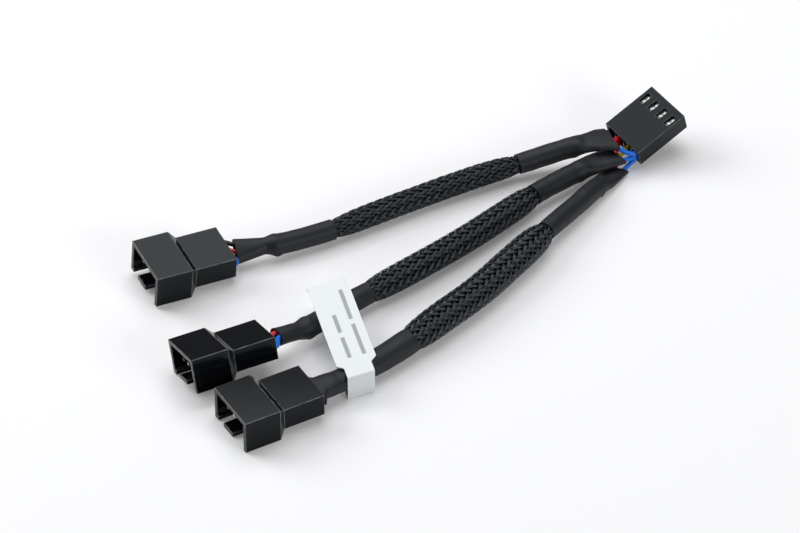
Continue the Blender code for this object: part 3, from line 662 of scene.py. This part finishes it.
def plug_housing():
    step_front = -(REAR_LENGTH + STEP_LENGTH)
    wide = (SHROUD_WIDTH, 0.0, SHROUD_HEIGHT)
    narrow = (REAR_WIDTH, REAR_FLOOR, REAR_FLOOR + REAR_BODY_HEIGHT)
    rings = []
    for x, (width, floor, top) in (
        (-PLUG_LENGTH, wide),
        (step_front, wide),
        (-REAR_LENGTH, narrow),
        (0.0, narrow),
    ):
        half = width / 2
        rings.append([(x, -half, floor), (x, half, floor), (x, half, top), (x, -half, top)])
    mouth = -PLUG_LENGTH - CUT_MARGIN
    well_end = -PLUG_LENGTH + WELL_DEPTH
    slot_end = -PLUG_LENGTH + KEY_SLOT_LENGTH
    inner_width = SHROUD_WIDTH - 2 * SIDE_WALL
    cuts = [block((mouth, well_end), 0.0, inner_width, (FLOOR_WALL, SHROUD_HEIGHT - TOP_WALL))]
    far_edge = SHROUD_WIDTH / 2 - FAR_LIP
    near_edge = far_edge - FAR_SLOT_WIDTH - TONGUE_WIDTH
    for edge, width in ((far_edge, FAR_SLOT_WIDTH), (near_edge, near_edge + inner_width / 2)):
        span = (-CUT_MARGIN, FLOOR_WALL + CUT_MARGIN)
        cuts.append(block((mouth, slot_end), edge - width / 2, width, span))
    channel_span = (PIN_HEIGHT - CHANNEL_HEIGHT / 2, PIN_HEIGHT + CHANNEL_HEIGHT / 2)
    for circuit in CIRCUITS:
        run = (well_end - CUT_MARGIN, CUT_MARGIN)
        cuts.append(block(run, contact_offset(circuit), CHANNEL_WIDTH, channel_span))
    return carved("plug_housing", lofted("plug_outer", rings), cuts)


def socket_housing():
    body = block((0.0, SOCKET_LENGTH), 0.0, SOCKET_WIDTH, (0.0, SOCKET_BODY_HEIGHT))
    cavity_span = (SOCKET_CENTRE - CAVITY_HEIGHT / 2, SOCKET_CENTRE + CAVITY_HEIGHT / 2)
    entry_span = (SOCKET_CENTRE - PIN_ENTRY / 2, SOCKET_CENTRE + PIN_ENTRY / 2)
    window_end = SOCKET_LENGTH - WINDOW_FROM_NOSE
    nose = SOCKET_LENGTH - NOSE_WALL
    cuts = []
    for circuit in CIRCUITS:
        across = contact_offset(circuit)
        cuts.append(block((-CUT_MARGIN, nose), across, CAVITY_WIDTH, cavity_span))
        entry_run = (nose - CUT_MARGIN, SOCKET_LENGTH + CUT_MARGIN)
        cuts.append(block(entry_run, across, PIN_ENTRY, entry_span))
        window_run = (window_end - WINDOW_LENGTH, window_end)
        window_span = (SOCKET_CENTRE, SOCKET_BODY_HEIGHT + CUT_MARGIN)
        cuts.append(block(window_run, across, WINDOW_WIDTH, window_span))
    far_slot = SHROUD_WIDTH / 2 - FAR_LIP - FAR_SLOT_WIDTH
    near_rib = far_slot - TONGUE_WIDTH - SEAT_GAP - RIB_WIDTH / 2
    ribs = [
        block((0.0, SOCKET_LENGTH), across, RIB_WIDTH, (-RIB_HEIGHT, RIB_EMBED))
        for across in (far_slot + FAR_SLOT_WIDTH / 2, near_rib)
    ]
    return carved("socket_housing", body, cuts, ribs)


def set_down(mesh, node, place, angles):
    """Finds how to turn a mesh and where to set it on its node's lowest level, and returns that
    turn and that place.
    """
    turn = Euler([math.radians(angle) for angle in angles], "XYZ").to_matrix()
    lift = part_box(node)[0].z - min((turn @ vertex.co).z for vertex in mesh.vertices)
    return turn, Vector((*place, lift))


def in_world(pose, local):
    turn, place = pose
    return np.array(place + turn @ Vector(local))


def mouth_side(pose, roll):
    """The direction across a shrink tube's mouth: level and square to its plug, then rolled."""
    level = pose[0] @ Vector((0.0, 1.0, 0.0))
    level.z = 0.0
    angle = math.radians(roll)
    return np.array(level.normalized() * math.cos(angle) + Vector((0.0, 0.0, math.sin(angle))))


def smooth_step(share):
    share = np.clip(share, 0.0, 1.0)
    return share * share * (3 - 2 * share)


def between(first, second, low, high, t):
    """The point at t on the line through the first point, at low, and the second, at high."""
    share = (t - low) / (high - low)
    return first * (1 - share) + second * share


def smooth_points(points):
    """Points along one smooth curve through the given ones, which may be unevenly spaced."""
    given = np.asarray(points, float)
    whole = np.vstack([2 * given[0] - given[1], given, 2 * given[-1] - given[-2]])
    found = []
    for index in range(1, len(whole) - 2):
        four = whole[index - 1 : index + 3]
        gaps = np.sqrt(np.linalg.norm(np.diff(four, axis=0), axis=1))
        knots = np.concatenate([[0.0], np.cumsum(gaps)])
        for t in np.linspace(knots[1], knots[2], POINTS_PER_SPAN, endpoint=False):
            first = [between(four[i], four[i + 1], knots[i], knots[i + 1], t) for i in range(3)]
            second = [between(first[i], first[i + 1], knots[i], knots[i + 2], t) for i in range(2)]
            found.append(between(second[0], second[1], knots[1], knots[2], t))
    found.append(given[-1])
    return np.array(found)


def unit(vectors):
    return vectors / np.linalg.norm(vectors, axis=-1, keepdims=True)


class Line:
    """A smooth line through some points, with a distance along it."""

    def __init__(self, points):
        self.points = smooth_points(points)
        steps = np.linalg.norm(np.diff(self.points, axis=0), axis=1)
        self.distance = np.concatenate([[0.0], np.cumsum(steps)])
        self.length = self.distance[-1]

    def at(self, distances):
        """The points at some distances along the line, which runs on straight past either end."""
        distances = np.atleast_1d(distances)
        inside = np.clip(distances, 0.0, self.length)
        parts = [np.interp(inside, self.distance, self.points[:, k]) for k in range(3)]
        found = np.stack(parts, axis=1)
        start = unit(self.points[1] - self.points[0])
        end = unit(self.points[-1] - self.points[-2])
        past = np.where((distances > 0)[:, None], end, start)
        return found + past * (distances - inside)[:, None]


class Route(Line):
    """A branch's line from its plug to the socket, with the directions across it."""

    def __init__(self, points, plug_side, socket_side):
        super().__init__(points)
        self.plug_side = plug_side
        self.socket_side = socket_side

    def frame(self, distances):
        """The directions to the far side and upwards, which turn to a connector's near each end."""
        distances = np.atleast_1d(distances)
        ahead = unit(self.at(distances + DIRECTION_REACH) - self.at(distances - DIRECTION_REACH))
        side = unit(np.cross((0.0, 0.0, 1.0), ahead))
        ends = ((self.plug_side, distances), (self.socket_side, self.length - distances))
        for connector_side, inside in ends:
            share = smooth_step((LEVEL_BLEND - inside) / LEVEL_BLEND)[:, None]
            side = side * (1 - share) + connector_side * share
        side = unit(side - ahead * (side * ahead).sum(axis=1, keepdims=True))
        return side, np.cross(ahead, side)


def read_profile(profile, distances):
    """A tube's width and height at some distances from its connector end."""
    stations = [row[0] * MM for row in profile]
    return [np.interp(distances, stations, [row[k] * MM for row in profile]) for k in (1, 2)]


def sleeve_size(branch, route, span, distances):
    """Width and height along the sleeve, drawn in where a shrink tube grips each end."""
    at_plug = read_profile(branch["outer_profile"], branch["outer_shrink"])
    at_socket = read_profile(branch["inner_profile"], branch["inner_shrink"])
    gripped = 2 * branch["grip"]
    sizes = [np.full(len(distances), full) for full in branch["sleeve"]]
    for shrink, inside in ((at_plug, distances - span[0]), (at_socket, span[1] - distances)):
        share = 1 - np.exp(-np.maximum(inside - SLEEVE_TUCK, 0.0) / SLEEVE_RELAX)
        for k, full in enumerate(branch["sleeve"]):
            drawn = (shrink[k] - gripped) * (1 - share) + full * share
            sizes[k] = np.minimum(sizes[k], drawn)
    return sizes


def bundle_offset(index, count):
    if count == 4:
        half = WIRE_PITCH / 2
        return ((half, -half), (half, half), (-half, -half), (-half, half))[index]
    radius = WIRE_PITCH / math.sqrt(3)
    angle = math.radians((-30.0, 90.0, 210.0)[index])
    return radius * math.cos(angle), radius * math.sin(angle)


def row_offset(index, count, pitch):
    return ((count - 1) / 2 - index) * pitch


def wire_offset(branch, route, index, distance):
    """A wire runs in a flat row near each connector; it steps up or down first, and then across."""
    count = len(branch["circuits"])
    across, over = bundle_offset(index, count)
    for row, inside in (("plug_row", distance), ("socket_row", route.length - distance)):
        pitch, row_end, bundle_start = branch[row]
        share = smooth_step((inside - row_end) / (bundle_start - row_end))
        across = across * share + row_offset(index, count, pitch) * (1 - share)
        over *= 1 - (1 - share) ** 3
    return across, over


def wire_points(branch, route, index, plug_pose, socket_pose):
    """A wire's own points, from the crimp in its plug to the neck of its contact in the socket."""
    across = contact_offset(branch["circuits"][index])
    wire_start = -PIN_BODY_START - CRIMP_LENGTH + SEAT_GAP
    play = (CHANNEL_WIDTH - WIRE_DIAMETER) / 2 - FIT_GAP
    eased = across - math.copysign(play, across)
    straight = [(wire_start, across), (wire_start / 2, across)]
    towards_middle = [(-PIN_BODY_START / 2, eased), (WIRE_LEAD, eased)]
    points = [in_world(plug_pose, (x, y, PIN_HEIGHT)) for x, y in straight + towards_middle]
    first, bundled = branch["wires_from"], branch["wires_from"] + PLUG_BUNDLE_REACH
    near_plug = np.linspace(first, bundled, PLUG_STATIONS, endpoint=False)
    middle = np.linspace(bundled, route.length - SOCKET_BUNDLE_START, BUNDLE_STATIONS)
    back = np.linspace(0.0, SOCKET_BUNDLE_START, SOCKET_STATIONS, endpoint=False)
    near_socket = route.length - back[::-1]
    stations = (first - WIRE_LEAD, *near_plug, *middle, *near_socket, route.length + WIRE_LEAD)
    for distance in stations:
        side, up = (vectors[0] for vectors in route.frame(distance))
        offset, over = wire_offset(branch, route, index, distance)
        points.append(route.at(distance)[0] + side * offset + up * over)
    height = SOCKET_CENTRE + branch["level"] * WIRE_PITCH
    wire_end = NECK_REAR - SEAT_GAP
    for x in (-WIRE_LEAD, wire_end / 2, wire_end):
        points.append(in_world(socket_pose, (x, across, height)))
    return points


def wire_curve(name, points):
    line = Line(points)
    middle = np.arange(WIRE_END_REACH, line.length - WIRE_END_REACH, WIRE_STEP)
    end = np.arange(0.0, WIRE_END_REACH, WIRE_END_STEP)
    distances = np.concatenate([end, middle, line.length - end[::-1]])
    curve = bpy.data.curves.new(name, "CURVE")
    curve.dimensions = "3D"
    curve.bevel_depth = WIRE_DIAMETER / 2
    curve.bevel_resolution = 4
    curve.use_fill_caps = True
    spline = curve.splines.new("POLY")
    spline.points.add(len(distances) - 1)
    for point, place in zip(spline.points, line.at(distances)):
        point.co = (*place, 1.0)
    spline.use_smooth = True
    return curve


def tube_section(width, height, angles):
    """A flattened tube's outline: nearly a stadium where it is flat, and round where it isn't."""
    power = 1 - FLAT_SQUARENESS * (1 - height / width)
    across = np.sign(np.cos(angles)) * np.abs(np.cos(angles)) ** power * width / 2
    over = np.sign(np.sin(angles)) * np.abs(np.sin(angles)) ** power * height / 2
    return across, over


def unevenness(points, size, depth, seed):
    """Small smooth swellings, given as a share out from each point's centre."""
    shift = Vector([seed * step for step in SEED_SHIFT])
    return np.array([noise.noise(Vector(point) / size + shift) * depth for point in points])


def kinked(inside, angles, kinks):
    """How far the film stands out or in at some angles, at its pinches and folds."""
    raised = np.zeros(len(angles))
    for place, heading, height, reach, spread in kinks:
        aside = (np.degrees(angles) - heading + 180) % 360 - 180
        away = ((inside / MM - place) / reach) ** 2 + (aside / spread) ** 2
        raised += height * MM * np.exp(-away)
    return raised


def shrink_mesh(name, route, span, profile_at, seed, inside_at, mouth, kinks):
    """A tube of shrunk film with a slanted mouth, crisp ends, pinches and its own wall."""
    count = round((span[1] - span[0]) / TUBE_STEP) + 1
    distances = np.linspace(*span, count)
    angles = np.linspace(0.0, 2 * math.pi, TUBE_SIDES, endpoint=False)
    outward = 1 if inside_at(span[1]) < inside_at(span[0]) else -1
    outer, inner = [], []
    for distance in distances:
        inside = inside_at(distance)
        fade = math.exp(-((inside / MOUTH_FADE) ** 2))
        shift, skew = mouth
        slanted = distance + outward * fade * (shift - skew * np.cos(angles)) * MM
        width, height = (float(value) for value in profile_at(distance))
        centres = route.at(slanted)
        sides, ups = route.frame(slanted)
        read_at = centres + sides * SHRINK_SWELL_ASIDE
        swell = unevenness(read_at, SHRINK_SWELL_SIZE, SHRINK_SWELL, seed)
        raised = kinked(inside, angles, kinks)
        for found, wall in ((outer, 0.0), (inner, SHRINK_WALL)):
            across, over = tube_section(width - 2 * wall, height - 2 * wall, angles)
            ring = across[:, None] * sides + over[:, None] * ups
            grown = 1 + swell + raised / np.linalg.norm(ring, axis=1)
            found.append(centres + ring * grown[:, None])
    points = np.concatenate(outer + inner)
    inner_start = count * TUBE_SIDES
    faces = band_faces(count, TUBE_SIDES) + band_faces(count, TUBE_SIDES, inner_start, True)
    for base in (0, (count - 1) * TUBE_SIDES):
        for step in range(TUBE_SIDES):
            edge = (base + step, base + (step + 1) % TUBE_SIDES)
            faces.append((*edge, inner_start + edge[1], inner_start + edge[0]))
    data = mesh_of(name, points, faces)
    data.set_sharp_from_angle(angle=SHRINK_CREASE_ANGLE)
    return data


def ring_points(centres, sides, ups, widths, heights, angles, rise):
    """One point at each place along a tube, at its own angle and raised by its own height."""
    across = np.cos(angles) * (widths / 2 + rise)
    over = np.sin(angles) * (heights / 2 + rise)
    return centres + across[:, None] * sides + over[:, None] * ups


def filament_points(line, out, width):
    """The corners of a flat filament's section at each point of its line."""
    ahead = unit(np.gradient(line, axis=0))
    beside = unit(np.cross(out, ahead))
    out = np.cross(ahead, beside)
    corner = np.linspace(0.0, 2 * math.pi, FILAMENT_SIDES, endpoint=False)[:, None]
    wide = (beside * width[:, None] / 2)[:, None] * np.cos(corner)
    high = (out * FILAMENT_HEIGHT / 2)[:, None] * np.sin(corner)
    return (line[:, None] + wide + high).reshape(-1, 3)


def braid_mesh(name, branch, route, span, seed):
    """A tubular braid of flat carriers, two over and two under, on an almost black tube of painted
    shade.

    Returns its mesh, the points of its middle line, and how many of its faces are filaments.
    """
    random = np.random.default_rng(seed)
    count = round((span[1] - span[0]) / BRAID_STEP) + 1
    distances = np.linspace(*span, count)
    widths, heights = sleeve_size(branch, route, span, distances)
    centres = route.at(distances)
    sides, ups = route.frame(distances)
    tube = (centres, sides, ups, widths, heights)
    girth = math.pi * (widths + heights) / 2
    slant = math.radians(branch["braid_angle"])
    turned = (distances - distances[0]) * 2 * math.pi * math.tan(slant) / np.median(girth)
    spacing = 2 * math.pi / CARRIERS
    filament_width = CARRIER_SHARE * girth * math.cos(slant) / CARRIERS / FILAMENTS
    filament_width = np.minimum(filament_width, WIDEST_FILAMENT * np.median(filament_width))
    points, faces = [], []
    for way in (1, -1):
        for carrier in range(CARRIERS):
            middle = carrier * spacing + way * turned
            weave = np.sin(math.pi * (middle / spacing + WEAVE_START))
            lift = way * np.clip(WEAVE_SHARPNESS * weave, -1, 1)
            sway = random.normal(0.0, CARRIER_SWAY) * spacing
            for strand in range(FILAMENTS):
                aside = (strand - (FILAMENTS - 1) / 2) * CARRIER_SHARE * spacing / FILAMENTS
                angle = middle + aside + sway + random.normal(0.0, FILAMENT_SWAY) * spacing
                uneven = random.normal(0.0, FILAMENT_UNEVEN)
                rise = BRAID_LIFT * (lift - 1) - FILAMENT_HEIGHT / 2 + uneven
                line = ring_points(*tube, angle, rise)
                out = unit(np.cos(angle)[:, None] * sides + np.sin(angle)[:, None] * ups)
                first = len(points) * count * FILAMENT_SIDES
                last = first + (count - 1) * FILAMENT_SIDES
                faces += band_faces(count, FILAMENT_SIDES, first)
                faces.append(tuple(range(first, first + FILAMENT_SIDES)))
                faces.append(tuple(range(last, last + FILAMENT_SIDES)))
                points.append(filament_points(line, out, filament_width))
    filament_faces = len(faces)
    # Under the filaments, an almost black tube of painted shade
    first = len(points) * count * FILAMENT_SIDES
    round_angles = np.linspace(0.0, 2 * math.pi, TUBE_SIDES, endpoint=False)
    for place, side, up, width, height in zip(*tube):
        inner_size = (width - 2 * SHADE_TUBE_DEPTH, height - 2 * SHADE_TUBE_DEPTH)
        across, over = tube_section(*inner_size, round_angles)
        points.append(place + across[:, None] * side + over[:, None] * up)
    faces += band_faces(count, TUBE_SIDES, first)
    data = mesh_of(name, np.concatenate(points), faces)
    return data, centres, filament_faces


def bend(x, height, radius, turns, width):
    """Points of the label's path round a centre, at some angles in degrees."""
    angles = [math.radians(turn) for turn in turns]
    return [(x + radius * math.cos(a), height + radius * math.sin(a), width) for a in angles]


def label_path(routes):
    """The label's loop round two branches.

    Returns its path, each point a distance from the far branch, a height and the label's width,
    then the far branch's place, the direction to the near one, and where in the path the top is.
    """
    crossing = []
    for branch, route, along in zip(BRANCHES[1:], routes[1:], LABEL_CROSSINGS):
        width = read_profile(branch["outer_profile"], along)[0]
        beside = UNDER_TOP_SHARE * LABEL_WIDTH
        places = np.linspace(along - beside, along + beside, UNDER_TOP_STATIONS)
        heights = read_profile(branch["outer_profile"], places)[1]
        top = (route.at(places)[:, 2] + heights / 2).max()
        crossing.append((route.at(along)[0], width / 2, top))
    (far, far_half, far_top), (near, near_half, near_top) = crossing
    lift = LABEL_THICKNESS / 2 + LABEL_GAP
    floor = LABEL_THICKNESS / 2
    run = near[:2] - far[:2]
    reach = np.linalg.norm(run)
    far_top, near_top = far_top + lift, near_top + lift
    far_edge = -far_half - lift - LABEL_FAR_REACH
    near_edge = reach + near_half + lift + LABEL_NEAR_REACH
    shoulder = near_edge - SHOULDER_FROM_CREASE
    flank = -far_half - lift
    under = far_top - 2 * LABEL_FOLD_RADIUS - FOLD_DROP
    up_and_out = (
        (flank + FLANK_SWING, floor),
        (flank - FLANK_SWING, floor + FLANK_SWING),
        (flank - FLANK_SWING, under - 1.2 * MM),
        (flank - 1.3 * MM, under - 0.3 * MM),
        (far_edge + 1.6 * MM, under),
        (far_edge + 0.9 * MM, under),
    )
    path = [(x, height, TAIL_WIDTH) for x, height in smooth_plan(up_and_out, LABEL_STEP)]
    path.append((far_edge + 0.6 * MM, under, 0.6 * TAIL_WIDTH + 0.4 * LABEL_WIDTH))
    fold = far_edge + LABEL_FOLD_RADIUS
    turns = range(270, 89, -20)
    path += bend(fold, under + LABEL_FOLD_RADIUS, LABEL_FOLD_RADIUS, turns, LABEL_WIDTH)
    top_start = len(path)
    for share in np.linspace(0.0, 1.0, round((shoulder - far_edge) / LABEL_STEP)):
        x = fold + (shoulder - fold) * share
        drop = FOLD_DROP * max(0.0, 1 - share / FOLD_DROP_SHARE) ** 2
        sag = LABEL_SAG * math.sin(math.pi * share)
        path.append((x, far_top + (near_top - far_top) * share - drop - sag, LABEL_WIDTH))
    top_end = len(path)
    for share in np.linspace(0.1, 1.0, 10):
        width = LABEL_WIDTH + (TAIL_WIDTH - LABEL_WIDTH) * smooth_step(share)
        path.append((shoulder + SHOULDER_LENGTH * share, near_top, width))
    crease = near_edge - CREASE_RADIUS
    for height, turns in (
        (near_top - CREASE_RADIUS, range(90, -1, -15)),
        (floor + CREASE_RADIUS, range(0, -91, -15)),
    ):
        path += bend(crease, height, CREASE_RADIUS, turns, TAIL_WIDTH)
    for share in np.linspace(0.05, 1.0, 30):
        path.append((crease + (flank + 0.7 * MM - crease) * share, floor, TAIL_WIDTH))
    return path, far, run / reach, (top_start, top_end)


def smooth_plan(points, step):
    """A smooth line in a plane, as points about one step apart."""
    line = Line([(x, y, 0.0) for x, y in points])
    return [tuple(point[:2]) for point in line.at(np.arange(0.0, line.length, step))]


def bar_at(share_across, share_along):
    """Whether a place on the label's top lies in one of its plain bars."""
    return any(
        abs(share_across - across) < PRINT_BAR_HALF and low < share_along < high
        for across, spans in PRINT_BARS
        for low, high in spans
    )


def add_label(routes):
    path, start, run, (top_start, top_end) = label_path(routes)
    count = len(path)
    line = np.array([(x, z) for x, z, _ in path])
    outside, inside = [], []
    for index, (x, z, width) in enumerate(path):
        ahead = unit(line[(index + 1) % count] - line[index - 1])
        outward = np.array([-ahead[1], ahead[0]]) * LABEL_THICKNESS / 2
        for found, sign in ((outside, 1), (inside, -1)):
            u, height = x + sign * outward[0], z + sign * outward[1]
            middle = np.array([start[0] + run[0] * u, start[1] + run[1] * u, height])
            for step in np.linspace(-0.5, 0.5, LABEL_COLUMNS + 1):
                found.append(middle + np.array([step * width, 0.0, 0.0]))
    row = LABEL_COLUMNS + 1
    under = count * row
    faces, barred = [], []
    for index in range(count):
        a, b = index * row, ((index + 1) % count) * row
        along = (index + 0.5 - top_start) / (top_end - top_start)
        for step in range(LABEL_COLUMNS):
            low, high = a + step, b + step
            faces.append((low, low + 1, high + 1, high))
            faces.append((under + low, under + high, under + high + 1, under + low + 1))
            barred += [bar_at((step + 0.5) / LABEL_COLUMNS, along), False]
        for edge in (0, LABEL_COLUMNS):
            faces.append((a + edge, b + edge, under + b + edge, under + a + edge))
            barred.append(False)
    data = mesh_of("label_mesh", outside + inside, faces)
    data.set_sharp_from_angle(angle=LABEL_CREASE_ANGLE)
    label = dressed("folded_label", data, "label_paper", "label")
    data.materials.append(PRINT)
    for face, bar in zip(data.polygons, barred):
        face.material_index = int(bar)


def lay_camera():
    data = bpy.data.cameras.new("camera")
    data.lens = CAMERA_LENS_MM
    data.sensor_width = SENSOR_WIDTH_MM
    data.clip_end = VIEW_REACH
    camera = bpy.data.objects.new("camera", data)
    bpy.context.scene.collection.objects.link(camera)
    camera.location = CAMERA_PLACE
    aim = Vector(CAMERA_AIM) - Vector(CAMERA_PLACE)
    camera.rotation_euler = aim.to_track_quat("-Z", "Y").to_euler()
    bpy.context.scene.camera = camera


def add_softbox(name, place, size, power):
    """A rectangular lamp that faces the middle of the lead."""
    data = bpy.data.lights.new(name, "AREA")
    data.shape = "RECTANGLE"
    data.size, data.size_y = size
    data.energy = power
    lamp = bpy.data.objects.new(name, data)
    bpy.context.scene.collection.objects.link(lamp)
    lamp.location = place
    lamp.rotation_euler = (-Vector(place)).to_track_quat("-Z", "Y").to_euler()
    return lamp


def floor_material():
    """A pale floor, lifted to white for the camera and in reflections, that keeps the shadow."""
    paint = Paint("pale_floor", FLOOR_COLOUR, 0.9)
    rays = paint.node("ShaderNodeLightPath", {}, {})
    kinds = ("Is Camera Ray", "Is Glossy Ray", "Is Transmission Ray")
    camera, gloss, glass = (Signal(paint, rays.outputs[kind]) for kind in kinds)
    strength = (camera + gloss + glass) * FLOOR_GLOW
    glow = paint.node("ShaderNodeEmission", {}, {"Color": (1.0, 1.0, 1.0), "Strength": strength})
    both = paint.node("ShaderNodeAddShader", {}, {0: paint.shader.outputs[0], 1: glow.outputs[0]})
    output = paint.tree.nodes["Material Output"]
    paint.tree.links.new(both.outputs[0], output.inputs["Surface"])
    return paint.material


def lay_stage():
    data = bpy.data.meshes.new("floor")
    ways = ((-1, -1), (1, -1), (1, 1), (-1, 1))
    data.from_pydata([(x * FLOOR_REACH, y * FLOOR_REACH, 0) for x, y in ways], [], [(0, 1, 2, 3)])
    floor = bpy.data.objects.new("floor", data)
    floor.location.z = -FLOOR_DROP
    data.materials.append(floor_material())
    bpy.context.scene.collection.objects.link(floor)
    world = bpy.data.worlds.new("studio")
    bpy.context.scene.world = world
    world.use_nodes = True
    sky = world.node_tree.nodes["Background"].inputs
    sky["Color"].default_value = (1.0, 1.0, 1.0, 1.0)
    sky["Strength"].default_value = WORLD_LIGHT
    away = PANEL_HEIGHT / math.tan(PANEL_EDGE_ANGLE) - PANEL_SIZE[0] / 2
    across, along = away * math.cos(PANEL_HEADING), away * math.sin(PANEL_HEADING)
    panel = add_softbox("panel", (across, along, PANEL_HEIGHT), PANEL_SIZE, PANEL_POWER)
    panel.rotation_euler = (0.0, 0.0, PANEL_HEADING)  # level, not aimed
    add_softbox("key_softbox", *KEY_LIGHT)
    add_softbox("front_softbox", *FRONT_LIGHT)
    bpy.context.scene.view_settings.view_transform = "Standard"


def dress_contacts():
    for name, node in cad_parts.items():
        if "_pin_" in name or "_contact_" in name:
            node.data.materials.clear()
            node.data.materials.append(FINISHES["tinned_contact"])


def add_shell(connector, mesh, pose):
    shell = dressed(connector + "_shell", mesh, "black_nylon", connector + "_housing")
    shell.data.transform(pose[0].to_4x4())
    shell.data.transform(Matrix.Translation(pose[1]))


def add_branch(number, branch, plug_pose, socket_pose):
    """A branch's wires, shrink tubes and sleeve, from its plug to the socket; returns its route."""
    plug_side = mouth_side(plug_pose, branch["mouth_roll"])
    socket_side = np.array(socket_pose[0] @ Vector((0.0, 1.0, 0.0))) * (1.0, 1.0, 0.0)
    route = Route(np.array(branch["route"]) * MM, plug_side, socket_side)
    outer_span = (0.0, branch["outer_shrink"])
    inner_span = (route.length - branch["inner_shrink"], route.length)
    sleeve_span = (outer_span[1] - SLEEVE_TUCK, inner_span[0] + SLEEVE_TUCK)
    for index, circuit in enumerate(branch["circuits"]):
        name = f"lead_{number}_{circuit}"
        curve = wire_curve(name, wire_points(branch, route, index, plug_pose, socket_pose))
        dressed(name, curve, circuit + "_wire", f"wire_{number}_{circuit}")

    def from_plug(distance):
        return distance

    def from_socket(distance):
        return route.length - distance

    for kind, span, inside_at, end in (
        ("outer", outer_span, from_plug, "plug"),
        ("inner", inner_span, from_socket, "socket"),
    ):
        name = f"{kind}_shrink_{number}"

        def size_at(distance):
            return read_profile(branch[kind + "_profile"], inside_at(distance))

        shape = (inside_at, branch[end + "_mouth"], branch[kind + "_kinks"])
        mesh = shrink_mesh(name + "_skin", route, span, size_at, number, *shape)
        dressed(name + "_skin", mesh, "heat_shrink", name)
    name = f"braid_{number}"
    mesh, path, filament_faces = braid_mesh(name, branch, route, sleeve_span, number)
    braid = dressed(name, mesh, "braided_sleeve", f"sleeve_{number}")
    # The tube under the filaments takes the painted shade
    mesh.materials.append(SHADE_TUBE)
    for face in mesh.polygons[filament_faces:]:
        face.material_index = 1
    float(sleeve_span[1] - sleeve_span[0])
    return route


def build():
    lay_camera()
    lay_stage()
    plug_mesh = plug_housing()
    socket_mesh = socket_housing()
    socket_pose = set_down(socket_mesh, "socket_housing", *SOCKET_PLACE)
    routes = []
    for number, (branch, place) in enumerate(zip(BRANCHES, PLUG_PLACES), start=1):
        plug_pose = set_down(plug_mesh, f"plug_{number}_housing", *place)
        routes.append(add_branch(number, branch, plug_pose, socket_pose))
        add_shell(f"plug_{number}", plug_mesh.copy(), plug_pose)
    add_shell("socket", socket_mesh, socket_pose)
    add_label(routes)
    dress_contacts()


build()
